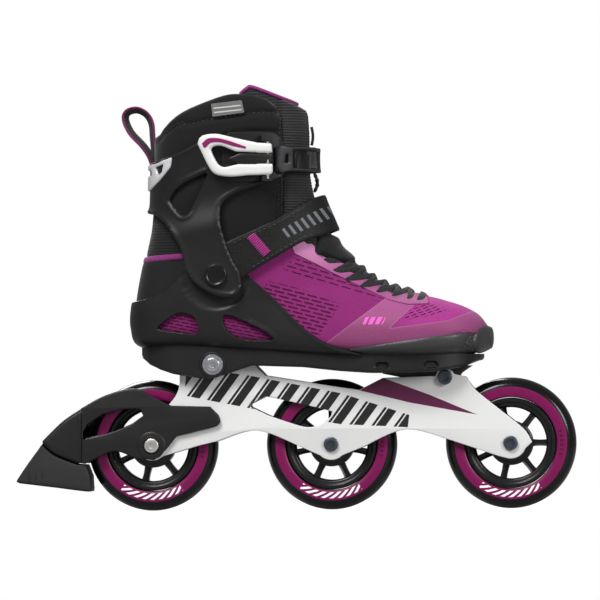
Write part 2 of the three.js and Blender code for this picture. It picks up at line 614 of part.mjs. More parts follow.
const collarSide = outline(
  [-150, 150], [-150, 285], [-131, 289], bend([-125, 297], [-110, 306], [-80, 318.5], [-65, 320]),
  [-50, 318], bend([-42, 314], [-36, 308], [-33, 300]), [-32.8, 290], [-32.8, 150],
);
const strapSide = [
  [-88, 199.5], [-78, 204.5], [-40, 221], [-12, 238], [-5, 241], [30, 241], [30, 213], [4, 213], [-20, 205],
  [-60, 181], [-70, 175],
];
const STRAP_IN = SHELL_OUT + 0.4;
const strapRoomSide = [
  [-92, 199], [-40, 223.5], [-12, 240.5], [-4, 244], [40, 244], [40, 209], [0, 209], [-58, 178], [-70, 172],
];
const strapRoom = boot(20, 2, 8).subtract(boot(STRAP_IN - 0.7, 2, 8)).intersect(through(strapRoomSide));
const strapSweep = unite(...[0, 2, 4, 6, FLEX_FORWARD].map((angle) => lean(strapRoom, -angle)),
  lean(strapRoom, FLEX_BACK));

function collar() {
  return skin(-COLLAR_PAD, 0, 0, 9).intersect(through(collarSide)).intersect(legPart).subtract(strapSweep);
}
place('liner_collar', collar(), 'textile');

const tongueSide = outline(
  [-32.3, 150], [-32.3, 300], [-66, 300], [-65, 320], bend([-62, 324.5], [-57, 326], [-40, 319.5], [-20, 311]),
  [-5, 305], [-5, 250], [60, 150],
);
const tongueBack = outline(
  [-66, 240], [-66, 320], bend([-62, 324.5], [-57, 326], [-40, 319.5], [-20, 311]), [-5, 240],
);
function tongueUpper() {
  const wingRoom = block(-70, -32.3, -60, 60, 290, 340);
  const front = skin(-TONGUE_PAD, 0, 0, 9).intersect(through(tongueSide)).subtract(wingRoom);
  const wings = skin(-TONGUE_PAD, -COLLAR_PAD - 0.4, 0, 5).intersect(through(tongueBack));
  return unite(front, wings).intersect(legPart).subtract(strapSweep);
}
place('tongue_upper', tongueUpper(), 'textile');

// The lace zigzags over the tongue, from the toe end up to the instep strap.
const LACE_ROWS = [10.9, 10.2, 9.4, 8.5, 7.6, 6.7, 5.9, 5.35];
const LACE_ANGLE = 34;
const LACE_OFFSET = 3.5;
function lace() {
  const route = LACE_ROWS.flatMap((t, i) => {
    const side = i % 2 ? -1 : 1;
    const rise = i + 1 < LACE_ROWS.length ? (LACE_ROWS[i + 1] - t) * 0.22 : 0;
    return [1, 0.5, 0, -0.5, -1].map((k) => {
      const [x, y, z] = bootPoint(t + rise * (1 - k), degrees(side * k * LACE_ANGLE), LACE_OFFSET);
      return new THREE.Vector3(x, y, z);
    });
  });
  const curve = new THREE.CatmullRomCurve3(route, false, 'catmullrom', 0.5);
  const section = new THREE.Shape(circle({ x: 0, z: 0 }, LACE_RADIUS, 6).map(([x, y]) => new THREE.Vector2(x, y)));
  return toSolid(new THREE.ExtrudeGeometry(section, { steps: 50, extrudePath: curve, bevelEnabled: false }));
}
place('lace', lace(), 'lace');

const guideSide = [
  [-10, 196], [-2, 193], [14.5, 185], [24, 178], [38, 171], [49, 165], [62, 164.5],
  [60, 157], [46, 158], [34, 165], [20, 172], [10, 179], [-6, 187],
];
function laceGuide(side) {
  const half = side < 0 ? block(-60, 90, -60, -2, 100, 240) : block(-60, 90, 2, 60, 100, 240);
  const room = guideSide.map(([x, z]) => [x - 0.2, z - 0.4]);
  return skin(0.35, 1.1, 4, 12).intersect(through(room)).intersect(half).subtract(legRoom);
}
place('lace_guide_outer_side', laceGuide(-1), 'film');
place('lace_guide_inner_side', laceGuide(1), 'film');

// ---------------------------------------------------------------- instep strap
const STRAP_OUT = STRAP_IN + STRAP_THICKNESS;
const RING_ZONE = { x: -46, width: 7 };
function instepStrap() {
  const band = skin(STRAP_IN, STRAP_OUT, 2, 8).intersect(through(strapSide));
  const earRoom = rod(PIVOT, PIVOT_HEAD_RADIUS, -80, 80, 16);
  const innerEnd = block(-100, RING_ZONE.x, 0, 80, 150, 260);
  return band.subtract(unite(earRoom, innerEnd));
}
place('instep_strap', instepStrap(), 'textile');

// The ring on the inner side: a plate with a slot that the strap's end passes into.
function strapRing() {
  const { x, width } = RING_ZONE;
  const along = [[x - 26, 173], [x + width, 190], [x + width, 226], [x - 34, 208]];
  const innerSide = block(-100, 0, 2, 80, 150, 260);
  const plate = skin(STRAP_IN, STRAP_OUT + 0.6, 2, 8).intersect(through(along)).intersect(innerSide);
  const wider = strapSide.map(([px, pz]) => [px, pz + (pz > 208 || px < -80 ? 0.6 : -0.6)]);
  const strapWay = boot(STRAP_OUT + 5, 2, 8).intersect(through(wider))
    .intersect(block(x - CLEARANCE, 20, 2, 80, 150, 260));
  return plate.subtract(unite(strapWay, rod(PIVOT, PIVOT_HEAD_RADIUS, -80, 80, 16)));
}
place('instep_strap_ring', strapRing(), 'plastic');

// ---------------------------------------------------------------- cuff
const cuffIn = (t) => 0.4 + CUFF_STAND_OFF * Math.min(Math.max((t - 2.6) / 1, 0), 1);
const cuffOut = (t) => cuffIn(t) + CUFF_WALL;
const cuffSide = outline(
  bend(
    [-134, 226.5], [-125, 219], [-113, 200], [-109, 183], [-100, 172],
    [-85, 164], [-72, 163.5], [-66, 170], [-67, 182],
  ),
  bend([-72, 190], [-78, 205], [-82, 222], [-80, 235], [-68, 243]), [-38, 252], [-33, 256], [-33, 278],
  arc(-43, 278.5, 10, 0, 90, 4), [-60, 288], [-80, 286], [-98, 281], [-110, 275], [-128, 268.5],
  [-150, 263], [-150, 229],
);
const cuffWindow = outline(
  [-122, 236], bend([-119, 243], [-110, 250], [-91, 258.5]),
  [-106, 228], bend([-110, 224], [-114, 226], [-120, 233]),
);
const LADDER_SCREW = { x: -52, z: 267, radius: 2 };

function cuff() {
  const body = boot(cuffOut, 0, 8).subtract(boot(cuffIn, 0, 8)).intersect(through(cuffSide));
  const screwHole = rod(LADDER_SCREW, LADDER_SCREW.radius + CLEARANCE, 0, 80, 12);
  return body.subtract(unite(through(cuffWindow), rod(PIVOT, PIVOT_RADIUS + CLEARANCE, -80, 80, 16), screwHole));
}
place('cuff', cuff(), 'plastic');

const ANKLE_HALF_WIDTH = 37;
function pivotRivet(side) {
  const inside = ANKLE_HALF_WIDTH + 1;
  const headSeat = ANKLE_HALF_WIDTH + cuffOut(5) + CLEARANCE;
  const span = (y0, y1) => [side * y0, side * y1].sort((a, b) => a - b);
  return unite(
    rod(PIVOT, PIVOT_RADIUS, ...span(inside, headSeat + 1), 16),
    rod(PIVOT, PIVOT_HEAD_RADIUS, ...span(headSeat, headSeat + 2.4), 20),
  );
}
place('cuff_rivet_outer_side', pivotRivet(-1), 'darkSteel');
place('cuff_rivet_inner_side', pivotRivet(1), 'darkSteel');

const insertSide = outline(
  [-150, 263.5], [-133, 265], [-119, 270], bend([-121, 262], [-130, 252], [-138, 245]), [-150, 244],
);
place('cuff_rear_insert', skin(CUFF_WALL + 0.8, CUFF_WALL + 2.2, 0, 3).intersect(through(insertSide)), 'white');

// ---------------------------------------------------------------- top buckle
const BASE_IN = 0.4 + CUFF_WALL + 0.4;
const BASE_OUT = BASE_IN + 1.3;
const STRAP_LAYER = [BASE_OUT + 0.3, BASE_OUT + 3.1];
const LEVER_LAYER = [8.9, 13.2];
const outerSide = block(-160, 60, -90, 0, 100, 340);

function onOuterSide(inner, outer, points, holes) {
  return skin(inner, outer, 0, 4).intersect(through(points, holes)).intersect(outerSide);
}

const pinReach = sideReach(BUCKLE_PIN.x, 267, (LEVER_LAYER[0] + LEVER_LAYER[1]) / 2);
function pinRod(radius, low, high) {
  const geometry = new THREE.CylinderGeometry(radius, radius, high - low, 12).rotateX(Math.PI / 2);
  return toSolid(geometry.translate(BUCKLE_PIN.x, -pinReach, (low + high) / 2));
}
const pinHole = (low, high) => pinRod(BUCKLE_PIN.radius + CLEARANCE, low, high);

const leverOuter = outline(
  bend([-100, 280], [-97, 286], [-85, 287.5], [-68, 283.5], [-52, 280]), [-41, 279.5], [-40.5, 273], [-40.5, 257],
  [-42, 255.6], bend([-60, 255.5], [-75, 254.5], [-87, 257], [-93, 265]),
);
const leverInner = outline(
  [-52, 272.5], bend([-70, 273.5], [-80, 278.5], [-87, 278.4], [-89.5, 275], [-84, 264], [-78, 261.3]),
  [-68, 263.6], [-52, 263.4],
);
const EAR_GAP = { low: 255, high: 280.5 };

const baseSide = outline(
  arc(-72, 280, 8, 90, 180, 3), arc(-72, 258, 8, 180, 270, 3), [-41, 252.5], [-36, 256], [-36, 280], [-40, 287],
);
function buckleBase() {
  const plate = onOuterSide(BASE_IN, BASE_OUT, baseSide);
  // two ears carry the lever's pin
  const spans = [[250.5, EAR_GAP.low - CLEARANCE - 0.2], [EAR_GAP.high + CLEARANCE, 285.5]];
  const ears = spans.map(([z0, z1]) =>
    onOuterSide(BASE_OUT - 0.5, LEVER_LAYER[1] - 0.4, [[-49, z0], [-41, z0], [-41, z1], [-49, z1]]));
  return unite(plate, ...ears).subtract(pinHole(252, 284));
}
place('buckle_base', buckleBase(), 'plastic');

const tabSide = [[-75, 268], [-66, 271.8], [-41, 271.8], [-41, 264.2], [-66, 264.2]];
const tabNotch = [[-52.3, 263.8], [-36, 263.8], [-36, 272.2], [-52.3, 272.2]];
const lever = onOuterSide(...LEVER_LAYER, leverOuter, [leverInner]);
place('buckle_lever', lever.subtract(unite(pinHole(200, 300), through(tabNotch))), 'white');
const releaseTab = onOuterSide(LEVER_LAYER[0], LEVER_LAYER[1] - 1.2, tabSide);
place('buckle_release_tab', releaseTab.subtract(pinHole(200, 300)), 'plastic');
place('buckle_pin', pinRod(BUCKLE_PIN.radius, BUCKLE_PIN.low, BUCKLE_PIN.high), 'steel');

const inlaySide = outline(
  bend([-95.5, 279.5], [-85, 283.2], [-62, 277]), [-63, 275.6], bend([-72, 276.8], [-85, 281.2], [-94, 278]),
);
place('buckle_lever_inlay', onOuterSide(LEVER_LAYER[1] + CLEARANCE, LEVER_LAYER[1] + 1, inlaySide), 'purple');

const ladderSide = [[-60, 258], [30, 258], [30, 276.5], [-60, 276.5]];
function ladderStrap() {
  const band = skin(...STRAP_LAYER, 0, 4).intersect(through(ladderSide));
  const outerEnd = block(-100, -39, -80, 0, 200, 300);
  return band.subtract(unite(outerEnd, rod(LADDER_SCREW, LADDER_SCREW.radius + CLEARANCE, 0, 80, 12)));
}
place('ladder_strap', ladderStrap(), 'plastic');
place('strap_catch', onOuterSide(STRAP_LAYER[1] + 0.3, STRAP_LAYER[1] + 2,
  [[-36, 260], [-25, 258.5], [-25, 276.5], [-36, 277.5]]), 'grey');

function ladderScrew() {
  const seat = sideReach(LADDER_SCREW.x, LADDER_SCREW.z, STRAP_LAYER[1]);
  return unite(
    rod(LADDER_SCREW, LADDER_SCREW.radius, seat - 7.5, seat + 2.5, 12),
    rod(LADDER_SCREW, LADDER_SCREW.radius + 2.5, seat + 2, seat + 4, 16),
  );
}
place('ladder_strap_screw', ladderScrew(), 'steel');

// ---------------------------------------------------------------- heel loop and label
const loopOuter = outline([-131, 264], bend(
  [-134, 285], [-133, 297], [-137, 306], [-148, 311], [-157, 309.5],
  [-160, 301], [-155, 290], [-145, 279], [-137, 272],
));
const loopInner = outline(
  bend([-136.5, 285], [-136, 297], [-140, 304], [-148, 308], [-155, 306.5], [-157, 301], [-152.5, 292], [-143, 282]),
);
const LOOP_HALF = 6;
const loopWebbing = sheet(loopOuter, -LOOP_HALF, LOOP_HALF, [loopInner]);
const loopRoom = unite(
  boot(0.35, 0, 4),
  boot(cuffOut, 0, 8).intersect(through(cuffSide)),
  skin(0.1, CUFF_WALL + 3, 0, 4).intersect(block(-170, -100, -40, 40, 240, 271)),
);
place('heel_pull_loop', loopWebbing.subtract(loopRoom), 'textile');

const labelSide = [[-88, 310], [-64.5, 312.5], [-62.5, 303], [-87, 300]];
place('collar_label', onOuterSide(0.35, 1.1, labelSide), 'grey');

export default skate;
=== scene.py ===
# %% [markdown]
# # An inline skate, piece by piece
# This notebook builds one right-foot inline skate on top of a measured engineering frame. The frame knows where
# every part sits and how it moves. We give each part its finer shape and its finish. Points run toward the toe
# along +X, toward the outer side of the foot along -Y and up along +Z. All outlines are in millimetres, and each
# mesh is turned into metres once, when it is made.

# %% Load the frame
from functools import reduce
import bmesh
import bpy
import numpy as np
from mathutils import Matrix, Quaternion, Vector


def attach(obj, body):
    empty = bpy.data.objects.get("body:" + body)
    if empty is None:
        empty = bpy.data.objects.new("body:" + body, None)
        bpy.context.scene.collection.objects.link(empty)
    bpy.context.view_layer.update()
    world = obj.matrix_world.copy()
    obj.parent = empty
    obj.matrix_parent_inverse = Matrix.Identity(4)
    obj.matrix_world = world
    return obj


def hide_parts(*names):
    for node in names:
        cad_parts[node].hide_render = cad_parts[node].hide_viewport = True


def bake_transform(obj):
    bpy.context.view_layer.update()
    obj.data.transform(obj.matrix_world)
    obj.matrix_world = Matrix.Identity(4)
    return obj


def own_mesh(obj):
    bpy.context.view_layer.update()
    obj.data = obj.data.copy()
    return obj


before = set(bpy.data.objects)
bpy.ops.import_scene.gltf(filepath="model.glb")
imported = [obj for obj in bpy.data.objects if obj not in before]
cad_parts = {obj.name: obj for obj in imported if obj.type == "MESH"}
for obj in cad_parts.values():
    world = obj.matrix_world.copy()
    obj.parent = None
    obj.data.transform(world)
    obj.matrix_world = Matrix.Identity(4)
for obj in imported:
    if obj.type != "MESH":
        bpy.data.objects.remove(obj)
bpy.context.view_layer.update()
print("frame nodes:", len(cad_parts))

# %% [markdown]
# ## Outlines
# Most pieces of a skate are cut or moulded to a line that is drawn in side view. A bend is a smooth run of such a
# line through a few points. An arc follows a circle. An outline joins corners, bends and arcs into one closed line.

# %% Side-view outlines
def bend(*points, steps=6):
    """A round line through points: between two neighbours each coordinate is a cubic of the share passed,
    whose slope at a point is half the step from the point before to the point after."""
    p = np.array(points, float)
    q = np.vstack([p[:1], p, p[-1:]])
    u = np.arange(steps)[None, :, None] / steps
    a, b, c, d = (q[k:len(q) - 3 + k, None] for k in range(4))
    curve = 0.5 * (2 * b + (c - a) * u + (2 * a - 5 * b + 4 * c - d) * u**2 + (3 * b - a - 3 * c + d) * u**3)
    return np.vstack([curve.reshape(-1, 2), p[-1:]])


def arc(x, z, radius, start, stop, steps=18):
    """Points on a circle: centre plus radius times the cosine and sine of evenly spaced angles in degrees."""
    angle = np.radians(np.linspace(start, stop, steps))
    return np.column_stack([x + radius * np.cos(angle), z + radius * np.sin(angle)])


def outline(*parts):
    """Corners and runs of points, one after the other."""
    return np.vstack([np.atleast_2d(np.asarray(part, float)) for part in parts])


def depth_inside(x, z, line):
    """How deep points lie inside a closed line: the least distance to any edge, negative outside. A point is
    inside when a level ray from it crosses the edges an odd number of times."""
    nearest = np.full(np.shape(x), np.inf)
    odd = np.zeros(np.shape(x), bool)
    for (ax, az), (bx, bz) in zip(line, np.roll(line, -1, 0)):
        ex, ez = bx - ax, bz - az
        share = np.clip(((x - ax) * ex + (z - az) * ez) / max(ex * ex + ez * ez, 1e-12), 0, 1)
        nearest = np.minimum(nearest, np.hypot(x - ax - share * ex, z - az - share * ez))
        if az != bz:
            odd ^= ((az > z) != (bz > z)) & (x < ax + (z - az) * ex / ez)
    return np.where(odd, nearest, -nearest)


print("a bend of 3 points has", len(bend((0, 0), (1, 1), (2, 0))), "points")

# %% [markdown]
# ## The form of the boot
# A boot is made round a last, a solid foot shape. Ours is a fan of flat sections: level ones up the leg, leaning
# ones round the heel and upright ones at the toe. Each section is a rounded oval from a front point to a back
# point. Two numbers then name any place on the boot: t, the section, and g, the share of the way round it,
# starting at the front and going over the outer side. Every soft or moulded piece that hugs the foot is a patch
# of this surface, pushed outwards by an offset, so that layers never cross.

# %% Sections of the last
# front x, front z, back x, back z, half width, widest place, squareness in front and behind, push at the toe
SECTIONS = np.array([
    [-19, 334, -133, 334, 47, 0.5, 0.9, 0.85, 0],
    [-15.5, 290, -134, 290, 46, 0.5, 0.9, 0.85, 0],
    [-15.5, 262, -134.5, 255, 44, 0.5, 0.9, 0.85, 0],
    [-12, 240, -136, 222, 41, 0.5, 0.9, 0.85, 0],
    [-6, 224, -141, 196, 38, 0.5, 0.9, 0.8, 0],
    [2, 206, -147, 165, 37, 0.52, 0.9, 0.75, 0],
    [12, 193, -148.5, 142, 36.5, 0.54, 0.9, 0.7, 0],
    [22, 184.5, -140, 127, 36, 0.56, 0.9, 0.65, 0],
    [31, 177.5, -100, 124, 36, 0.58, 0.9, 0.6, 0],
    [41, 172, -50, 121, 37.5, 0.6, 0.9, 0.55, 0],
    [52, 168, 0, 118.5, 41.5, 0.62, 0.9, 0.5, 0],
    [66, 164.5, 40, 117.5, 46.5, 0.64, 0.85, 0.5, 0],
    [84, 160.5, 72, 117.5, 49, 0.64, 0.8, 0.5, 0],
    [100, 154.5, 96, 118.5, 44.5, 0.62, 0.8, 0.55, 0.2],
    [112, 146.5, 111, 120.5, 32, 0.6, 0.8, 0.6, 0.7],
    [119, 137, 119, 125, 13, 0.55, 0.85, 0.8, 1],
])
LAST_SECTION = len(SECTIONS) - 1
TOE_DRIFT = 6       # how far the tip of the toe lies to the inner side
TOE_BULGE = 2.5     # roundness of the tip, ahead of the last section
TIP_RUN = 14        # length of skin from the last section to the tip


def toe_drift(x):
    """How far the boot has turned to the inner side at x: nothing behind 10 mm, then by the square of the share."""
    return TOE_DRIFT * np.clip((x - 10) / 109, 0, 1)**2


def section(t):
    """The nine numbers of the oval at t, each a cubic through the rows of the table."""
    t = np.clip(t, 0, LAST_SECTION)
    i = np.minimum(t.astype(int), LAST_SECTION - 1)
    u = (t - i)[..., None]
    a, b, c, d = (SECTIONS[np.clip(i + k, 0, LAST_SECTION)] for k in (-1, 0, 1, 2))
    return 0.5 * (2 * b + (c - a) * u + (2 * a - 5 * b + 4 * c - d) * u**2 + (3 * b - a - 3 * c + d) * u**3)


def last_point(t, angle, offset):
    """A place on the oval at t. Along its front-to-back line it lies at a power of the cosine, across it at the
    same power of the sine. Past the last section the oval shrinks to a point and bulges forward."""
    fx, fz, bx, bz, width, widest, square_front, square_back, push = np.moveaxis(section(t), -1, 0)
    length = np.hypot(bx - fx, bz - fz)
    cap = np.clip(t - LAST_SECTION, 0, 1) * np.pi / 2
    c, s = np.cos(angle), np.sin(angle)
    square = np.where(c > 0, square_front, square_back)
    half = np.where(c > 0, widest, 1 - widest) * length + offset
    along = widest * length - np.sign(c) * np.abs(c)**square * half * np.cos(cap)
    x = fx + (bx - fx) / length * along + push * offset + TOE_BULGE * np.sin(cap)
    across = np.sign(s) * np.abs(s)**square * (width + offset) * np.cos(cap)
    y = toe_drift(x) - across
    return np.stack([x, y, fz + (bz - fz) / length * along], -1)


print("sections:", len(SECTIONS))


# %% [markdown]
# ## Even steps
# A rounded oval bunches its points at the ends and spreads them along the sides. We measure each section along
# the skin and keep a table of the angles that lie evenly, so that g is an honest share of the way round. A second
# table says how far apart the sections lie, and it spaces the rows of a patch.

# %% Even steps round the boot
def even_angles(count=361):
    """A table of the angles that lie evenly round each section, measured along the skin."""
    u = np.linspace(0, 1, 160, endpoint=False)
    quarter = u**2 / (u**2 + (1 - u)**2) * np.pi / 2
    fine = np.append(np.concatenate([quarter + k * np.pi / 2 for k in range(4)]), 2 * np.pi)
    rows = last_point(TABLE_T[:, None], fine[None], 0.0)
    run = np.cumsum(np.linalg.norm(np.diff(rows, axis=1, prepend=rows[:, :1]), axis=2), axis=1)
    share = np.linspace(0, 1, count)
    return np.array([np.interp(share, r / r[-1], fine) for r in run]), run[:, -1]


TABLE_T = np.linspace(0, LAST_SECTION - 0.001, 301)
ANGLES, GIRTHS = even_angles()
ends = section(TABLE_T)
STRIDE = np.maximum(*(np.hypot(*np.diff(ends[:, k:k + 2], axis=0).T) for k in (0, 2)))
REACH = np.append(np.concatenate([[0], np.cumsum(STRIDE)]), np.cumsum(STRIDE)[-1] + TIP_RUN)
REACH_T = np.append(TABLE_T, LAST_SECTION + 1)
MIDDLES = (ends[:, 0:2] + ends[:, 2:4]) / 2
LENGTHS = np.concatenate([[0], np.cumsum(np.hypot(*np.diff(MIDDLES, axis=0).T))])


def boot_skin(t, g, offset=0.0):
    """The place at section t and share g of the way round, at an offset: the angle is read from the table of
    even angles, between its four nearest entries."""
    row = np.clip(t / TABLE_T[-1], 0, 1) * (len(TABLE_T) - 1)
    turn = np.floor(g)
    column = (g - turn) * (ANGLES.shape[1] - 1)
    i = np.minimum(row.astype(int), len(TABLE_T) - 2)
    j = np.minimum(column.astype(int), ANGLES.shape[1] - 2)
    a, b = row - i, column - j
    angle = ((1 - a) * ((1 - b) * ANGLES[i, j] + b * ANGLES[i, j + 1])
             + a * ((1 - b) * ANGLES[i + 1, j] + b * ANGLES[i + 1, j + 1]))
    return last_point(t, angle, offset)


def section_rows(start, stop, step):
    """Sections from start to stop whose ends lie about a step apart."""
    low, high = np.interp([start, stop], REACH_T, REACH)
    return np.interp(np.linspace(low, high, int((high - low) / step) + 2), REACH, REACH_T)


print("girth at the ball of the foot:", round(float(np.interp(12, TABLE_T, GIRTHS))), "mm")

# %% [markdown]
# ## From numbers to meshes
# A mesh is a list of points and a list of faces. We make both as whole arrays. Every piece then gets a smooth
# shade that breaks only at real edges, an optional small bevel that catches the light, its finish, the body that
# it moves with and the parts of the frame that it stands for.

# %% Making a piece
MM = 0.001


def weld(mesh, gap=0.00002):
    """Merges points that coincide, which closes seams and poles, and drops the faces that this flattens."""
    work = bmesh.new()
    work.from_mesh(mesh)
    bmesh.ops.remove_doubles(work, verts=work.verts, dist=gap)
    bmesh.ops.dissolve_degenerate(work, edges=work.edges, dist=gap / 4)
    loose = [v for v in work.verts if not v.link_faces]
    bmesh.ops.delete(work, geom=loose, context="VERTS")
    work.to_mesh(mesh)
    work.free()


def piece(name, shape, finish, body=None, stands_for=(), bevel=0.0, sharp=38):
    """A finished object from a shape: points in millimetres, faces and, where its finish reads them, marks."""
    points, faces, *marks = shape
    mesh = bpy.data.meshes.new(name)
    mesh.from_pydata((np.asarray(points) * MM).tolist(), [], [list(f) for f in faces])
    for key, values in (marks[0] if marks else {}).items():
        kind = "FLOAT_VECTOR" if np.ndim(values) == 2 else "FLOAT"
        attribute = mesh.attributes.new(key, kind, "POINT")
        attribute.data.foreach_set("vector" if kind == "FLOAT_VECTOR" else "value",
                                   np.asarray(values, np.float32).ravel())
    weld(mesh)
    mesh.polygons.foreach_set("use_smooth", np.ones(len(mesh.polygons), bool))
    mesh.set_sharp_from_angle(angle=np.radians(sharp))
    mesh.materials.append(finish)
    item = bpy.data.objects.new(name, mesh)
    bpy.context.scene.collection.objects.link(item)
    if bevel:
        edge = item.modifiers.new("edge", "BEVEL")
        edge.width, edge.segments, edge.limit_method = bevel * MM, 2, "ANGLE"
        edge.angle_limit = np.radians(50)
    if body:
        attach(item, body)
    if stands_for:
        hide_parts(*stands_for)
    print(f"{name}: {len(mesh.vertices)} points, {len(mesh.polygons)} faces")
    return item


print("millimetres to metres:", MM)

# %% [markdown]
# ## Patches of the boot
# A patch starts as an even grid of t and g. Each grid point gets its depth inside the side-view outline. A grid
# line that crosses the outline has one end near the crossing, and that end slides onto it, so that the border is
# smooth without any cutting. Cells that keep all four corners stay squares and cells that keep three become
# triangles. An outer skin, an inner skin and a rim between them close the body. The outer offset may crown
# toward the middle of the patch, which is what padding, sewn channels and moulded ribs do.

# %% Patches
def crown(depth, width):
    """A quarter-round rise from the border: one minus the circle's fall, reaching 1 at width."""
    fall = 1 - np.clip(depth / width, 0, 1)
    return np.sqrt(1 - fall**2)


def rounded(height, width):
    """A relief that lies a height lower at the border and rises to nothing over a width, in a quarter round."""
    return lambda depth, *_: height * crown(depth, width) - height


DEEP = 50.0         # a depth for places that no border limits
HALF_CELL = 0.5001  # an end slides at most this share of its grid line


def patch(side, inner, outer, t=(0, LAST_SECTION), g=(0.0, 1.0), step=1.6, holes=(), only=0, relief=None,
          under=None, trim=None, zones=None):
    """Points, faces and marks of a skin between two offsets inside a side-view line. The offsets may be
    functions of t. Only is -1 for the outer side of the foot and 1 for the inner side. Relief is a function of
    depth, x, z and the distance round the boot, added to the outer offset, and under the same for the inner one.
    Trim gives one more depth from the place."""
    rows = section_rows(t[0], t[1], step)
    columns = np.linspace(g[0], g[1], int((g[1] - g[0]) * 270 / step) + 2)
    T, G = (grid.copy() for grid in np.meshgrid(rows, columns, indexing="ij"))
    inner_at = inner if callable(inner) else (lambda _: np.full(np.shape(_), float(inner)))
    outer_at = outer if callable(outer) else (lambda _: np.full(np.shape(_), float(outer)))

    def depth_at(T, G):
        """The depth inside the line, outside the holes, past the trim and on the side asked for."""
        p = boot_skin(T, G, outer_at(T))
        depth = np.full(T.shape, DEEP) if side is None else depth_inside(p[..., 0], p[..., 2], side)
        for hole in holes:
            depth = np.minimum(depth, -depth_inside(p[..., 0], p[..., 2], hole))
        if trim:
            depth = np.minimum(depth, trim(p))
        return np.minimum(depth, only * p[..., 1]) if only else depth

    D = depth_at(T, G)
    closed = g[1] - g[0] > 0.999
    n, m = T.shape
    best = np.full(T.shape, HALF_CELL)
    slide = np.zeros((2, n, m))
    for di, dj in ((1, 0), (-1, 0), (0, 1), (0, -1)):
        here = (slice(max(0, -di), n - max(0, di)), slice(max(0, -dj), m - max(0, dj)))
        there = (slice(max(0, di), n - max(0, -di)), slice(max(0, dj), m - max(0, -dj)))
        a, b = D[here], D[there]
        share = np.where((a > 0) != (b > 0), np.abs(a) / (np.abs(a) + np.abs(b) + 1e-9), 2)
        if closed and dj:
            share[:, 0 if dj > 0 else -1] = 2
        closer = share < best[here]
        best[here][closer] = share[closer]
        for k, grid in enumerate((T, G)):
            slide[k][here][closer] = (share * (grid[there] - grid[here]))[closer]
    moved = best < HALF_CELL
    T += slide[0]
    G += slide[1]
    D = np.where(moved, 0, D)

    index = np.arange(n * m).reshape(n, m)
    corners = np.stack([index[:-1, :-1], index[:-1, 1:], index[1:, 1:], index[1:, :-1]], -1).reshape(-1, 4)
    kept = (D.ravel() >= 0)[corners]
    solid = (D.ravel() > 0)[corners].any(1)
    faces = corners[kept.all(1) & solid]
    three = corners[(kept.sum(1) == 3) & solid]
    triangles = three[kept[(kept.sum(1) == 3) & solid]].reshape(-1, 3)

    p = boot_skin(T, G, outer_at(T))
    depth = np.maximum(D, 0)
    length = np.interp(T, TABLE_T, LENGTHS)
    around = G * np.interp(T, TABLE_T, GIRTHS)
    place = (depth, p[..., 0], p[..., 2], around)
    out = outer_at(T) + (relief(*place) if relief else 0)
    low = inner_at(T) + (under(*place) if under else 0)
    skins = np.concatenate([boot_skin(T, G, out).reshape(-1, 3), boot_skin(T, G, low).reshape(-1, 3)])
    edges = np.concatenate([np.stack([f, np.roll(f, -1, 1)], -1).reshape(-1, 2) for f in (faces, triangles)])
    key, opposite = edges[:, 0] * n * m + edges[:, 1], edges[:, 1] * n * m + edges[:, 0]
    border = edges[~np.isin(key, opposite)]
    column = border % m
    seam = closed & (column[:, 0] == column[:, 1]) & ((column[:, 0] == 0) | (column[:, 0] == m - 1))
    tip = (border // m >= n - 1).all(1) & (t[1] > LAST_SECTION)
    border = border[~(seam | tip)]
    rim = np.column_stack([border[:, 1], border[:, 0], border[:, 0] + n * m, border[:, 1] + n * m])
    all_faces = [*faces, *(faces[:, ::-1] + n * m), *triangles, *(triangles[:, ::-1] + n * m), *rim]

    cloth = np.stack([length, around, depth], -1).reshape(-1, 3)
    marks = {"cloth": np.concatenate([cloth, cloth])}
    for key, line in (zones or {}).items():
        value = depth_inside(p[..., 0], p[..., 2], line).ravel()
        marks[key] = np.concatenate([value, value])
    used = np.unique(np.concatenate([np.ravel(f) for f in all_faces]))
    order = np.full(2 * n * m, -1)
    order[used] = np.arange(len(used))
    return skins[used], [order[f] for f in all_faces], {k: v[used] for k, v in marks.items()}


print("a rounded border 2 mm wide is at", round(float(crown(1.0, 2.0)), 2), "of its height half way in")

# %% [markdown]
# A few lines, such as stitches and the piping, follow the boot too. We find where a side-view point lies on the skin
# by starting from the nearest entry of a coarse table and taking four Newton steps, each one solving for the
# change of t and g that closes the gap.

# %% Finding places on the boot
SEEK_T, SEEK_G = (grid.ravel() for grid in np.meshgrid(np.linspace(0.02, 14.9, 200), np.linspace(0, 0.5, 90)))


def find_on_boot(points, offset, side=-1):
    """t and g of side-view points on one side of the boot."""
    target = np.asarray(points, float)
    table = boot_skin(SEEK_T, SEEK_G, offset)[:, [0, 2]]
    start = np.argmin(((target[:, None] - table[None])**2).sum(2), axis=1)
    t, g = SEEK_T[start].copy(), np.clip(SEEK_G[start], 0.004, 0.496)
    for _ in range(4):
        here = boot_skin(t, g, offset)[:, [0, 2]]
        by_t = (boot_skin(t + 1e-3, g, offset)[:, [0, 2]] - here) / 1e-3
        by_g = (boot_skin(t, g + 1e-4, offset)[:, [0, 2]] - here) / 1e-4
        gap = target - here
        area = by_t[:, 0] * by_g[:, 1] - by_t[:, 1] * by_g[:, 0]
        area = np.where(np.abs(area) < 1, 1e9, area)
        t = np.clip(t + np.clip((gap[:, 0] * by_g[:, 1] - gap[:, 1] * by_g[:, 0]) / area, -0.3, 0.3), 0, 15)
        g = np.clip(g + np.clip((by_t[:, 0] * gap[:, 1] - by_t[:, 1] * gap[:, 0]) / area, -0.02, 0.02), 0.001, 0.499)
    return t, g if side < 0 else -g


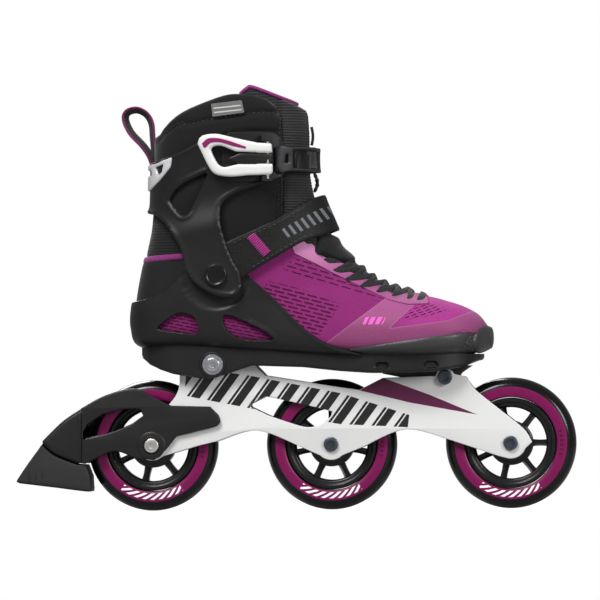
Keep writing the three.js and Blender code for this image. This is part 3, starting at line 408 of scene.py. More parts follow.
def on_boot(points, offset, side=-1):
    """Places on the boot over side-view points, and the directions that point away from the boot there."""
    t, g = find_on_boot(points, offset, side)
    here = boot_skin(t, g, offset)
    away = boot_skin(t, g, offset + 1.0) - here
    return here, away / np.linalg.norm(away, axis=1, keepdims=True)


print("the rivet lies at t and g of", *(round(float(v[0]), 2) for v in find_on_boot([(-85.5, 179.5)], 0.0)))

# %% [markdown]
# ## Turned, flat and drawn-out shapes
# Wheels, bolts and washers are turned: a profile of radius and width goes round an axle. Rails and brake arms
# are flat plates with rounded edges, which a filled curve gives us in one go. Laces, loops and piping are drawn
# out along a line.

# %% Turned, flat and drawn-out pieces
def turned(profile, at=(0, 0), segments=72, closed=True, hexagon=None):
    """A profile of (radius, y) points turned about an axle along Y: x and z are the radius times the cosine and
    sine. Hexagon is the share by which each profile point follows a six-sided socket."""
    r, y = np.array(profile, float).T
    angle = np.arange(segments) * 2 * np.pi / segments
    six = np.cos(np.pi / 6) / np.cos((angle % (np.pi / 3)) - np.pi / 6)
    share = np.zeros(len(r)) if hexagon is None else np.array(hexagon, float)
    radius = r[:, None] * (1 + share[:, None] * (six[None] - 1))
    points = np.stack([at[0] + radius * np.cos(angle), np.broadcast_to(y[:, None], radius.shape),
                       at[1] + radius * np.sin(angle)], -1)
    n = len(r)
    i, j = np.meshgrid(np.arange(n if closed else n - 1), np.arange(segments), indexing="ij")
    a, b = i * segments + j, i * segments + (j + 1) % segments
    c, d = (i + 1) % n * segments + (j + 1) % segments, (i + 1) % n * segments + j
    return points.reshape(-1, 3), np.stack([a, b, c, d], -1).reshape(-1, 4)


def turned_round(shape, wanted):
    """A shape whose faces look the other way when that is wanted, which a mirrored profile needs."""
    points, faces = shape
    return points, [face[::-1] for face in faces] if wanted else faces


def join(*shapes):
    """Several (points, faces) shapes as one."""
    points, faces, count = [], [], 0
    for p, f in shapes:
        points.append(p)
        faces += [np.asarray(face) + count for face in f]
        count += len(p)
    return np.concatenate(points), faces


def flat_plate(line, y0, y1, holes=(), round_edge=0.8):
    """A plate between two planes, with rounded edges: a filled flat curve, drawn out and bevelled."""
    curve = bpy.data.curves.new("plate", "CURVE")
    curve.dimensions, curve.fill_mode = "2D", "BOTH"
    half = (y1 - y0) / 2
    edge = min(round_edge, half * 0.95)
    curve.extrude, curve.bevel_depth, curve.bevel_resolution, curve.offset = half - edge, edge, 2, -edge
    for ring in (line, *holes):
        spline = curve.splines.new("POLY")
        spline.points.add(len(ring) - 1)
        spline.points.foreach_set("co", np.column_stack([ring, np.zeros(len(ring)), np.ones(len(ring))]).ravel())
        spline.use_cyclic_u = True
    holder = bpy.data.objects.new("plate", curve)
    mesh = bpy.data.meshes.new_from_object(holder)
    flat = np.empty(len(mesh.vertices) * 3)
    mesh.vertices.foreach_get("co", flat)
    flat = flat.reshape(-1, 3)
    faces = [list(p.vertices) for p in mesh.polygons]
    bpy.data.objects.remove(holder)
    bpy.data.curves.remove(curve)
    bpy.data.meshes.remove(mesh)
    return np.column_stack([flat[:, 0], (y0 + y1) / 2 - flat[:, 2], flat[:, 1]]), faces


print("turned, joined and flat shapes ready")


# %% [markdown]
# ## Bands along a path
# A lace, a strip of piping or a stitch is one closed ring carried along a path. The ring needs a side and an up
# direction at every point. A taper makes it slimmer at the ends, as thread is where it dips into leather.

# %% Bands, cords and stitches
def drawn_out(path, side, up, width, height, round_count=10, taper=None, power=1.0):
    """A rounded band along a path: each ring is the path point plus a cosine share of the side direction and a
    sine share of the up direction. A power below 1 squares the ring."""
    path, side, up = (np.asarray(v, float) for v in (path, side, up))
    angle = (np.arange(round_count) + 0.5) * 2 * np.pi / round_count
    c, s = (np.sign(v) * np.abs(v)**power for v in (np.cos(angle), np.sin(angle)))
    size = np.ones(len(path)) if taper is None else np.asarray(taper, float)
    rings = (path[:, None] + (c * width / 2)[None, :, None] * (side * size[:, None])[:, None]
             + (s * height / 2)[None, :, None] * (up * size[:, None])[:, None])
    n, k = len(path), round_count
    i, j = np.meshgrid(np.arange(n - 1), np.arange(k), indexing="ij")
    a, b = i * k + j, i * k + (j + 1) % k
    faces = np.stack([a, a + k, b + k, b], -1).reshape(-1, 4)
    caps = [list(range(k)), list(range((n - 1) * k, n * k))[::-1]]
    return rings.reshape(-1, 3), [*faces, *caps]


def directions(path):
    """Unit directions along a path of points."""
    step = np.gradient(np.asarray(path, float), axis=0)
    return step / np.maximum(np.linalg.norm(step, axis=1, keepdims=True), 1e-9)


def stitches(line, offset, side=-1, long=2.6, gap=1.5, thick=0.75):
    """A row of thread stitches on the boot: short capsules that dip at both ends."""
    line = np.asarray(line, float)
    run = np.concatenate([[0], np.cumsum(np.hypot(*np.diff(line, axis=0).T))])
    starts = np.arange(0, run[-1] - long, long + gap)
    share = np.linspace(0, 1, 4)
    places = (starts[:, None] + share[None] * long).ravel()
    path, up = on_boot(np.column_stack([np.interp(places, run, line[:, k]) for k in (0, 1)]), offset, side)
    path = path + up * (np.tile(np.sin(share * np.pi), len(starts)) * 0.35)[:, None]
    shapes = []
    for k in range(len(starts)):
        part = slice(4 * k, 4 * k + 4)
        across = np.cross(directions(path[part]), up[part])
        shapes.append(drawn_out(path[part], across, up[part], thick, thick, round_count=5,
                                taper=[0.5, 1, 1, 0.5]))
    return join(*shapes)


print("bands, cords and stitches ready")

# %% [markdown]
# ## Studio
# The skate is seen almost square from its outer side, from far away with a long lens, a little from the toe end.
# A wide soft light above and in front draws long highlights along the plastic. Two weaker ones open the shadows.
# The floor is pale and fades into the equally pale surroundings.

# %% Camera, lights and floor
VIEW_CENTRE = Vector((-0.0238, 0.0, 0.1606))
VIEW_WIDTH = 0.4598
VIEW_DISTANCE = 6.0
WHITE = (1, 1, 1, 1)
scene = bpy.context.scene
scene.view_settings.view_transform = "Standard"
camera = bpy.data.objects.new("camera", bpy.data.cameras.new("camera"))
scene.collection.objects.link(camera)
SENSOR = 36
camera.data.sensor_width = SENSOR
camera.data.lens = SENSOR * VIEW_DISTANCE / VIEW_WIDTH
turn, rise, roll = np.radians([3.0, -0.6, -0.456])
back = Vector((np.sin(turn) * np.cos(rise), -np.cos(turn) * np.cos(rise), np.sin(rise)))
camera.location = VIEW_CENTRE + back * VIEW_DISTANCE
camera.rotation_mode = "QUATERNION"
camera.rotation_quaternion = (-back).to_track_quat("-Z", "Y") @ Quaternion((0, 0, 1), roll)
camera.data.clip_start, camera.data.clip_end = 0.1, 100
scene.camera = camera


def soft_light(name, place, target, size, power):
    """A square area light at a place, turned so that it shines at a target."""
    lamp = bpy.data.lights.new(name, "AREA")
    lamp.size, lamp.energy = size, power
    item = bpy.data.objects.new(name, lamp)
    item.location = place
    item.rotation_mode = "QUATERNION"
    item.rotation_quaternion = (Vector(target) - Vector(place)).to_track_quat("-Z", "Y")
    scene.collection.objects.link(item)


soft_light("key", (-0.7, -1.5, 1.9), (0, 0, 0.15), 0.9, 62)
soft_light("fill", (1.5, -1.4, 0.8), (0, 0, 0.12), 0.7, 24)
soft_light("back", (-0.6, 1.5, 1.4), (0, 0, 0.15), 1.0, 30)
world = bpy.data.worlds.new("studio")
world.use_nodes = True
air = world.node_tree.nodes["Background"]
air.inputs["Color"].default_value = WHITE


print("the view is", VIEW_WIDTH, "m wide from", VIEW_DISTANCE, "m away")

# %% [markdown]
# ## Finishes
# Every finish is a small network of nodes. Noise gives uneven gloss and grain, repeated stripes give ribs and
# woven threads, and the marks that a patch carries place sewn lines and printed zones. The sizes are real ones:
# lengths inside the networks are millimetres.

# %% Tools for finishes
def put(tree, kind, inputs=None, **settings):
    """Adds a node, sets its options and either links or fills its inputs."""
    node = tree.nodes.new("ShaderNode" + kind)
    for key, value in settings.items():
        setattr(node, key, value)
    for key, value in (inputs or {}).items():
        if isinstance(value, bpy.types.NodeSocket):
            tree.links.new(value, node.inputs[key])
        else:
            node.inputs[key].default_value = value
    return node


def calc(tree, operation, *values):
    """One step of arithmetic."""
    return put(tree, "Math", dict(enumerate(values)), operation=operation).outputs[0]


def plus(tree, *values):
    """The sum of values."""
    return reduce(lambda total, value: calc(tree, "ADD", total, value), values)


def minus(tree, first, second):
    """The first value less the second."""
    return calc(tree, "SUBTRACT", first, second)


def times(tree, *values):
    """The product of values."""
    return reduce(lambda total, value: calc(tree, "MULTIPLY", total, value), values)


def slant(tree, x, z, share_x, share_z):
    """A place measured along a slanted line: a share of x plus a share of z."""
    return plus(tree, times(tree, x, share_x), times(tree, z, share_z))


def far_from(tree, x, z):
    """The distance from an axis: the root of x times x plus z times z."""
    return calc(tree, "SQRT", slant(tree, x, z, x, z))


def smooth(tree, value, low, high):
    """0 below low, 1 above high and a soft step between."""
    return put(tree, "MapRange", {0: value, 1: low, 2: high}, interpolation_type="SMOOTHSTEP").outputs[0]


def blend_colours(tree, share, first, second):
    """The first colour where share is 0 and the second where it is 1. A colour is a link or three numbers."""
    first, second = ((*colour, 1) if isinstance(colour, tuple) else colour for colour in (first, second))
    return put(tree, "Mix", {0: share, 6: first, 7: second}, data_type="RGBA").outputs[2]


def place_mm(tree):
    """The place on the skate in millimetres, and its three parts."""
    spot = put(tree, "TexCoord").outputs["Object"]
    scaled = put(tree, "VectorMath", {0: spot, "Scale": 1000.0}, operation="SCALE").outputs[0]
    return scaled, put(tree, "SeparateXYZ", {0: scaled}).outputs


def mark(tree, name):
    """An attribute of the piece, whole and in parts."""
    node = put(tree, "Attribute", attribute_name=name)
    return node.outputs["Vector"], put(tree, "SeparateXYZ", {0: node.outputs["Vector"]}).outputs


def number_mark(tree, name):
    """An attribute that is one number."""
    return put(tree, "Attribute", attribute_name=name).outputs["Fac"]


def grain(tree, spot, size, detail=2.0):
    """Noise whose features are about size millimetres."""
    return put(tree, "TexNoise", {"Vector": spot, "Scale": 1 / size, "Detail": detail}).outputs["Fac"]


def stripes(tree, along, pitch, width, soft=0.25):
    """1 inside bars of a width that repeat every pitch, 0 between."""
    share = calc(tree, "FRACT", calc(tree, "DIVIDE", along, pitch))
    off = times(tree, calc(tree, "ABSOLUTE", minus(tree, share, 0.5)), pitch)
    return smooth(tree, off, width / 2 + soft / 2, width / 2 - soft / 2)


print("tools for colour, stripes and grain are ready")


# %% [markdown]
# ## Plastic and metal
# Each material starts the same way: a new node tree, its shader and a few constants. Then colour, roughness and a
# bump are linked to the shader. The two families that a skate uses most, moulded plastic and turned metal, get a
# function each, since only their colour, gloss and grain differ.

# %% Making a material
def finish(name, roughness=0.5, **constants):
    """A new material with constants set straight on the shader's sockets."""
    material = bpy.data.materials.new(name)
    material.use_nodes = True
    shader = material.node_tree.nodes["Principled BSDF"]
    shader.inputs["Roughness"].default_value = roughness
    for key, value in constants.items():
        shader.inputs[key.replace("_", " ")].default_value = value
    return material, material.node_tree, shader


def feed(tree, shader, colour=None, roughness=None, height=None, depth=0.2, metallic=None):
    """Connects colour, roughness and a bump of that depth in millimetres."""
    for key, value in (("Base Color", colour), ("Roughness", roughness), ("Metallic", metallic)):
        if value is not None:
            tree.links.new(value, shader.inputs[key])
    if height is not None:
        bump = put(tree, "Bump", {"Height": height, "Strength": 1.0, "Distance": depth * MM})
        tree.links.new(bump.outputs[0], shader.inputs["Normal"])


def seen(tree, straight, bounced):
    """A strength for what is seen straight on, and another for the light that it throws."""
    ray = put(tree, "LightPath").outputs["Is Camera Ray"]
    return plus(tree, times(tree, ray, straight - bounced), bounced)


def uneven(tree, spot, colour, spread=0.12, size=30.0):
    """A colour that drifts a little from place to place."""
    dark = tuple(c * (1 - spread) for c in colour)
    light = tuple(min(c * (1 + spread), 1) for c in colour)
    return blend_colours(tree, grain(tree, spot, size), dark, light)


def moulded_plastic(name, colour, roughness, grain_size=0.7, grain_depth=0.012, coat=0.0, shine=0.3):
    """Moulded plastic: a spark-eroded grain, uneven gloss and a colour that drifts a little."""
    material, tree, shader = finish(name, roughness, Coat_Weight=coat, Coat_Roughness=0.15, Specular_IOR_Level=shine)
    spot, _ = place_mm(tree)
    gloss = put(tree, "MapRange", {0: grain(tree, spot, 12.0, 3.0), 3: roughness - 0.06, 4: roughness + 0.08})
    feed(tree, shader, uneven(tree, spot, colour), gloss.outputs[0], grain(tree, spot, grain_size, 1.0), grain_depth)
    return material


def turned_metal(name, colour, roughness):
    """Turned or plated metal: fine lathe lines and faint smears."""
    material, tree, shader = finish(name, roughness, Metallic=1.0)
    spot, _ = place_mm(tree)
    gloss = put(tree, "MapRange", {0: grain(tree, spot, 3.0, 4.0), 3: roughness - 0.08, 4: roughness + 0.12})
    feed(tree, shader, uneven(tree, spot, colour, 0.1, 4.0), gloss.outputs[0], grain(tree, spot, 0.25), 0.01)
    return material


print("a coat, a grain and a gloss for every plastic and metal")


# %% [markdown]
# ## Floor and air
# A few parts of the frame already have the right shape and only need a finish. The floor is pale near the skate
# and turns into the brightness of the air further out, so no horizon shows.

# %% Frame parts and floor
def dress(material, *nodes):
    """Gives parts of the frame this finish in place of the one they came with."""
    for node in nodes:
        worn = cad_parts[node].data.materials
        worn.clear()
        worn.append(material)


AIR_GLOW, FLOOR_GLOW = (1.0, 0.25), (0.84, 0.12)     # seen straight on, and as light thrown on the skate
floor_finish, tree, shader = finish("pale floor", 0.6)
spot, (x, y, _) = place_mm(tree)
away = far_from(tree, x, y)
feed(tree, shader, blend_colours(tree, grain(tree, spot, 400.0), (0.19, 0.19, 0.19), (0.21, 0.21, 0.21)))
glow = put(tree, "Emission", {"Color": WHITE, "Strength": seen(tree, *FLOOR_GLOW)})
near = put(tree, "AddShader", {0: shader.outputs[0], 1: glow.outputs[0]})
far = put(tree, "Emission", {"Color": WHITE, "Strength": seen(tree, *AIR_GLOW)})
fade = put(tree, "MixShader", {0: smooth(tree, away, 330.0, 900.0), 1: near.outputs[0], 2: far.outputs[0]})
tree.links.new(fade.outputs[0], tree.nodes["Material Output"].inputs["Surface"])
world.node_tree.links.new(seen(world.node_tree, *AIR_GLOW), air.inputs["Strength"])
scene.world = world
FAR_OFF = 40     # metres to the edges of the floor
floor_mesh = bpy.data.meshes.new("floor")
corners = [(x * FAR_OFF, y * FAR_OFF, 0) for x, y in ((-1, -1), (1, -1), (1, 1), (-1, 1))]
floor_mesh.from_pydata(corners, [], [(0, 1, 2, 3)])
floor_mesh.materials.append(floor_finish)
floor = bpy.data.objects.new("floor", floor_mesh)
scene.collection.objects.link(floor)

print("the floor reaches", FAR_OFF, "m out")

# %% [markdown]
# ## Shared finishes
# These finishes are used by several pieces. Black nylon is never quite black: a small drift in colour and gloss
# keeps a large dark surface from looking flat.

# %% Shared finishes
black_plastic = moulded_plastic("black moulded nylon", (0.011, 0.011, 0.011), 0.4, shine=0.28)
hub_plastic = moulded_plastic("glossy hub nylon", (0.005, 0.005, 0.0055), 0.28, shine=0.35)
white_plastic = moulded_plastic("white acetal", (0.66, 0.66, 0.65), 0.28, 1.2, 0.006, 0.1)
brake_rubber = moulded_plastic("brake rubber", (0.015, 0.015, 0.016), 0.6, 0.9, 0.03)
toe_rubber = moulded_plastic("toe rubber", (0.034, 0.034, 0.036), 0.42, 0.6, 0.02, shine=0.4)
bright_steel = turned_metal("zinc plated steel", (0.62, 0.63, 0.66), 0.28)
dark_steel = turned_metal("blued steel", (0.10, 0.115, 0.14), 0.35)
pale_metal = turned_metal("nickel cap", (0.72, 0.71, 0.66), 0.34)

print("finishes so far:", len(bpy.data.materials))

# %% [markdown]
# ## Wheels
# A skate wheel is cast urethane on a moulded nylon hub. The hub has a stepped rim, seven spokes and a collar that
# holds two bearings. A coloured ring is printed on both flat sides of the tyre. We turn the tyre and the rim, and
# set the spokes round with one rotation each. The print reads the place relative to its own axle.

# %% Wheels
AXLE_X = {"rear": -137.16, "middle": 0.0, "front": 137.16}
AXLE_Z = 50.0
SPOKES = 7
SPOKE_TURN = {"rear": 0.0, "middle": 12.9, "front": 0.0}


def printed_urethane():
    """Glossy dark urethane with a purple ring 7.6 mm wide, pale slanted bars low on it and dark dashes."""
    material, tree, shader = finish("printed urethane", 0.18, Specular_IOR_Level=0.3)
    spot, (x, _, z) = mark(tree, "disc")
    radius = far_from(tree, x, z)
    angle = times(tree, calc(tree, "ARCTAN2", z, x), 180 / np.pi)

    def band(value, low, high, soft=0.3):
        """1 between two values, with soft ends."""
        return times(tree, smooth(tree, value, low - soft, low + soft),
                    smooth(tree, value, high + soft, high - soft))

    ring = band(radius, 35.4, 43.0)
    lean = plus(tree, angle, times(tree, minus(tree, radius, 39.0), 2.2))
    bars = times(tree, stripes(tree, lean, 9.0, 4.4, 0.6), band(radius, 36.7, 41.4, 0.2))
    bars = times(tree, bars, band(angle, -126.0, -56.0, 0.5))
    dashes = times(tree, stripes(tree, angle, 5.2, 2.6, 0.6), band(radius, 37.6, 40.4, 0.2))
    dashes = times(tree, dashes, band(angle, -17.0, 17.0, 0.5))
    purple = blend_colours(tree, grain(tree, spot, 9.0), (0.135, 0.001, 0.055), (0.18, 0.002, 0.075))
    colour = blend_colours(tree, ring, (0.004, 0.0035, 0.004), purple)
    colour = blend_colours(tree, times(tree, dashes, 0.7), colour, (0.03, 0.002, 0.014))
    colour = blend_colours(tree, bars, colour, (0.86, 0.86, 0.86))
    rough = put(tree, "MapRange", {0: ring, 3: 0.2, 4: 0.38}).outputs[0]
    feed(tree, shader, colour, rough, grain(tree, spot, 1.5), 0.01)
    return material


tyre_finish = printed_urethane()
print("print ready:", tyre_finish.name)

# %% [markdown]
# ## Tyres and hubs
# The tyre bulges from a flat side wall to a crown with a small radius, which is what touches the ground. The hub
# is a rim, a collar and seven spokes, each waisted and grooved to save weight without losing stiffness.

# %% Tyres and hubs
half_tyre = np.vstack([[(34.9, 10.6), (35.3, 11.2), (36.2, 11.7), (39, 11.95), (41.8, 11.95)],
                       bend((43, 11.8), (45.3, 10.9), (47.6, 8.6), (49.2, 5.6), (49.85, 2.8), (50, 0))])
tyre_profile = np.vstack([half_tyre, half_tyre[-2::-1] * (1, -1)])
half_rim = np.array([(34.6, 8.6), (34.2, 9.4), (33.4, 9.7), (31.9, 9.8), (31.3, 9.5), (30.9, 8.7), (30.3, 8.4),
                     (28.9, 8.4), (28.3, 8.1), (27.5, 7.4), (27.2, 6.8)])
half_collar = np.array([(17, 9.6), (16.7, 10.3), (16.2, 10.6), (14.8, 10.7), (14.4, 11.3), (13.8, 11.6),
                        (11.8, 11.6), (11.3, 11.2)])


def both_sides(half):
    """A profile closed by its mirror image."""
    return np.vstack([half[::-1] * (1, -1), half])[::-1]


def spoke(angle):
    """A moulded spoke: rounded rings from the collar to the rim, waisted between, with a hollow down each side."""
    out = np.linspace(16.2, 28.6, 9)
    waist = 1 - 0.16 * np.sin((out - 16.2) / 12.4 * np.pi)
    section_x = np.array([-2.75, -2.3, -1.1, 1.1, 2.3, 2.75, 2.75, 2.3, 1.1, -1.1, -2.3, -2.75])
    section_y = np.array([-6.0, -6.5, -5.9, -5.9, -6.5, -6.0, 6.0, 6.5, 5.9, 5.9, 6.5, 6.0])
    across = section_x[None] * waist[:, None]
    c, s = np.cos(angle), np.sin(angle)
    points = np.stack([out[:, None] * c - across * s, np.broadcast_to(section_y, across.shape),
                       out[:, None] * s + across * c], -1).reshape(-1, 3)
    n, k = len(out), len(section_x)
    i, j = np.meshgrid(np.arange(n - 1), np.arange(k), indexing="ij")
    a, b = i * k + j, i * k + (j + 1) % k
    return points, [*np.stack([a, b, b + k, a + k], -1).reshape(-1, 4), list(range(k))[::-1],
                    list(range((n - 1) * k, n * k))]


for place, centre in AXLE_X.items():
    points, faces = turned(tyre_profile, segments=128)
    piece(f"tyre_{place}_cast", (points + (centre, 0, AXLE_Z), faces, {"disc": points}), tyre_finish,
          f"wheel_{place}", (f"tyre_{place}",))
    turns = np.radians(np.arange(SPOKES) * 360 / SPOKES - SPOKE_TURN[place])
    points, faces = join(turned(both_sides(half_rim), segments=96), turned(both_sides(half_collar), segments=72),
                         *(spoke(a) for a in turns))
    piece(f"hub_{place}_moulded", (points + (centre, 0, AXLE_Z), faces), hub_plastic, f"wheel_{place}",
          (f"hub_{place}",), sharp=32)

# %% [markdown]
# ## Axle bolts and frame bolts
# Each axle is a steel bolt with a flat round head and a six-sided socket. The socket's rings follow a hexagon
# and the others stay round. The rear axle has a wide pale cap in a dark ring.

# %% Bolts
REAR_BOLT, FRONT_BOLT = (-89.5, 111.5), (87.5, 100.5)
REAR_SEAT, FRONT_SEAT = -29.7, -18.5    # y of the faces that the heads of the two bolts rest on


def socket_head(x, z, y, side, radius, thick, socket):
    """A bolt head that faces one side: a flat disc with a rounded rim and a hexagon socket."""
    profile = [(radius, 0), (radius, thick * 0.55), (radius - 0.35, thick * 0.9), (radius - 0.9, thick),
               (socket + 0.5, thick), (socket, thick - 0.4), (socket * 0.96, thick * 0.3), (0.01, thick * 0.25)]
    r, h = np.array(profile, float).T
    disc = turned(np.column_stack([r, y + side * h]), (x, z), 48, closed=False, hexagon=(0, 0, 0, 0, 1, 1, 1, 0))
    return turned_round(disc, side < 0)


def shank(x, z, radius, y0, y1):
    """A plain rod along Y, closed at both ends."""
    return turned([(0.01, y0), (radius, y0), (radius, y1), (0.01, y1)], (x, z), 24, closed=False)


AXLE_SEAT = {"rear": 21.9, "middle": 18.2, "front": 18.2}
for place, centre in AXLE_X.items():
    seat = AXLE_SEAT[place] + 0.3
    head = dict(radius=5.6, thick=2.2, socket=2.2 if place == "rear" else 2.6)
    piece(f"axle_{place}_bolt", join(
        socket_head(centre, AXLE_Z, -seat, -1, **head), socket_head(centre, AXLE_Z, seat, 1, **head),
        shank(centre, AXLE_Z, 4.0, -seat - 0.2, seat + 0.2)),
        pale_metal if place == "rear" else dark_steel, "boot", (f"axle_{place}",), sharp=30)
piece("mount_bolt_rear_head", join(
    socket_head(*REAR_BOLT, REAR_SEAT, -1, 5.2, 1.9, 2.3), shank(*REAR_BOLT, 3.0, REAR_SEAT - 0.2, 30.0)),
    bright_steel, "boot", ("mount_bolt_rear",), sharp=30)
piece("mount_bolt_front_head", join(
    socket_head(*FRONT_BOLT, FRONT_SEAT, -1, 5.6, 4.0, 2.8), shank(*FRONT_BOLT, 3.0, FRONT_SEAT - 0.2, 23.5)),
    dark_steel, "boot", ("mount_bolt_front",), sharp=30)
washer = turned([(3.2, REAR_SEAT), (7.6, REAR_SEAT), (8.1, REAR_SEAT + 0.4), (8.1, -24), (3.2, -24)], REAR_BOLT, 48)
piece("mount_washer_rear_turned", washer, bright_steel, "boot", ("mount_washer_rear",), sharp=30)
dress(dark_steel, "mount_nut_rear", "mount_nut_front", "brake_pad_screw")
for place in AXLE_X:
    dress(bright_steel, f"bearing_{place}_outer_side", f"bearing_{place}_inner_side", f"bearing_spacer_{place}")

# %% [markdown]
# ## Rail
# The rail is pressed and machined aluminium, painted white and printed. Two flat walls with rounded edges are
# joined by two bridges, and bosses inside the walls reach the bearings. The print is a slim purple wedge and a
# run of slanted black bars.

# %% Rail
RAIL_SIDE = outline(
    arc(AXLE_X["rear"], AXLE_Z, 11.5, 150, 290), (-128, 42), (-100, 50),
    bend((-87, 53), (-57, 61), (-25, 49)), arc(AXLE_X["middle"], AXLE_Z, 12, 225, 315),
    bend((25, 48), (57, 61), (90, 53)), (128, 40), arc(AXLE_X["front"], AXLE_Z, 12, 262, 340),
    bend((153.5, 50.5), (147, 61), (125, 79), (110, 91.5), (103, 101)),
    arc(*FRONT_BOLT, 7.3, 20, 170), (40, 100.5), bend((22, 91.5), (0, 94.8), (-50, 103)),
    (-58, 111.5), (-78, 119), (-101, 119), (-115.5, 104), bend((-115.5, 98), (-118, 89), (-125, 80)))
RAIL_WINDOW = outline(bend((1, 75), (-10, 78), (-38, 84.5), (-50, 87)), (-61.4, 81.4), (-62, 80.2), (-61.4, 79),
                      bend((-48, 72.5), (-20, 63.5), (-7, 66), (0, 71.5)))


def painted_rail():
    """White satin paint with printed shapes. Each straight edge of a shape is a signed distance in x and z."""
    material, tree, shader = finish("painted rail", 0.3, Coat_Weight=0.25, Coat_Roughness=0.2)
    spot, (x, y, z) = place_mm(tree)

    def beyond(ax, az, bx, bz):
        """How far a place lies to the left of the line from a to b."""
        length = float(np.hypot(bx - ax, bz - az))
        nx, nz = -(bz - az) / length, (bx - ax) / length
        return minus(tree, slant(tree, x, z, nx, nz), ax * nx + az * nz)

    def within(*corners):
        """1 inside a convex shape whose corners run anticlockwise."""
        sides = [beyond(*a, *b) for a, b in zip(corners, corners[1:] + corners[:1])]
        least = sides[0]
        for other in sides[1:]:
            least = calc(tree, "MINIMUM", least, other)
        return smooth(tree, least, -0.15, 0.15)

    wedge = within((22, 91), (60, 81.5), (112, 71.8), (75, 87.5), (40, 100.5))
    run = slant(tree, x, z, 0.966, -0.259)
    lean = plus(tree, run, times(tree, z, -0.45))
    bars = stripes(tree, lean, 17.0, 7.6, 0.3)
    thin = stripes(tree, plus(tree, lean, 6.0), 17.0, 2.2, 0.3)
    field = within((-112, 88), (-62, 78), (58, 56), (60, 72), (8, 89), (-62, 103), (-110, 110))
    cut = minus(tree, 1.0, within((-5, 50), (70, 40), (70, 62), (-5, 66)))
    printed = times(tree, field, cut, calc(tree, "MAXIMUM", bars, thin))
    outside = smooth(tree, calc(tree, "ABSOLUTE", y), 17.4, 17.9)
    paint = blend_colours(tree, grain(tree, spot, 60.0), (0.60, 0.60, 0.595), (0.66, 0.66, 0.655))
    colour = blend_colours(tree, times(tree, wedge, outside), paint, (0.10, 0.006, 0.05))
    colour = blend_colours(tree, times(tree, printed, outside), colour, (0.008, 0.008, 0.0085))
    gloss = put(tree, "MapRange", {0: grain(tree, spot, 5.0, 3.0), 3: 0.26, 4: 0.38}).outputs[0]
    feed(tree, shader, colour, gloss, grain(tree, spot, 0.5), 0.006)
    return material


WALL_MIDDLE, HALF_WALL, INSIDE = 16.7, 1.5, 15.4     # of the rail's walls, across the skate
walls = [flat_plate(RAIL_SIDE, y - HALF_WALL, y + HALF_WALL, (RAIL_WINDOW,), 0.7) for y in (-WALL_MIDDLE, WALL_MIDDLE)]
bosses = [turned([(4.3, y0), (7, y0), (7, y1), (4.3, y1)], (x, AXLE_Z), 40)
          for x in AXLE_X.values() for y0, y1 in ((12.3, INSIDE), (-INSIDE, -12.3))]
bridges = [flat_plate(outline((x0, z0), (x1, z0), (x1, z0 + 4), (x0, z0 + 4)), -INSIDE, INSIDE, (), 0.6)
           for x0, x1, z0 in ((-94, -44, 88), (44, 92, 84))]
rail_finish = painted_rail()
piece("rail_painted", join(*walls, *bosses, *bridges), rail_finish, "boot", ("rail",), sharp=35)

# %% [markdown]
# ## Heel brake
# The brake arm is a moulded fork round the rear wheel. It ends in a block that carries a rubber pad, held by one
# screw from below. The fork's cheeks are plates with well rounded edges and a sunk ring round the axle.

# %% Brake
BRAKE_SIDE = outline((-85.5, 73), (-92, 79.5), bend((-122, 80.5), (-135, 87), (-150, 93.8), (-172, 89), (-191, 79)),
                     (-191, 36.8), (-188, 36.5), bend((-178, 41.5), (-165, 46), (-150, 40.5)),
                     bend((-135, 39), (-126, 47), (-118, 57)), (-92, 63), bend((-87, 64.5), (-84.3, 68), (-85.5, 73)))
BRAKE_WINDOW = outline((-190, 58), (-184, 68), bend((-175, 74), (-160, 77.6), (-146, 78)), (-143.5, 73),
                       bend((-152, 67), (-170, 60), (-188, 56)))
BRAKE_END = outline(bend((-190, 79.4), (-205, 69.5), (-221, 54.2)), bend((-221, 52.6), (-212, 44.2), (-195, 37.2)),
                    (-190, 36.8))
PAD_SIDE = outline((-221, 52.2), bend((-233, 36), (-240.4, 25), (-240.8, 23), (-238.5, 21.8)),
                   bend((-210, 18.2), (-187, 15.2), (-184.3, 16.5), (-184.3, 20)), (-184.6, 27), (-188, 35.8),
                   bend((-195, 36.2), (-212, 43.2), (-221, 51)))
CHEEK_MIDDLE, HALF_CHEEK, CHEEK_FACE = 20.2, 1.7, 21.9    # of the fork's cheeks, across the skate
cheeks = [flat_plate(BRAKE_SIDE, y - HALF_CHEEK, y + HALF_CHEEK, (BRAKE_WINDOW,), 1.3)
          for y in (-CHEEK_MIDDLE, CHEEK_MIDDLE)]
end_block = flat_plate(BRAKE_END, -CHEEK_FACE, CHEEK_FACE, (), 3.0)
axle_rings = [turned([(6.6, y - 0.3), (10.6, y - 0.3), (10.6, y + s * 0.5), (9.9, y + s * 0.9), (7.4, y + s * 0.9),
                      (6.6, y + s * 0.3)], (AXLE_X["rear"], AXLE_Z), 48)
              for y, s in ((-CHEEK_FACE, -1), (CHEEK_FACE, 1))]
piece("brake_fork", join(*cheeks, end_block, *axle_rings), black_plastic, "boot",
      ("brake_arm",), sharp=35)
grooves = [flat_plate(outline((x, 23.5 + k * 1.2), (x + 1.2, 23.2 + k * 1.2), (x + 1.4, 32), (x + 0.2, 32)),
                      -20.4, 20.4, (), 0.3) for k, x in enumerate((-232.0, -227.0, -222.0))]
piece("brake_pad_rubber", join(flat_plate(PAD_SIDE, -20, 20, (), 1.8), *grooves), brake_rubber, "boot",
      ("brake_pad",), sharp=35)

# %% [markdown]
# ## Shell
# The shell is one nylon moulding. It wraps the heel and the outer edge of the sole and stands up beside the ankle
# as a lug for the cuff. Two windows let the fabric show. Below it a thick sole with two vent slots takes the rail.
# The shell is a patch with two holes. The sole is a ring of points drawn down in steps, pushed in at the slots.

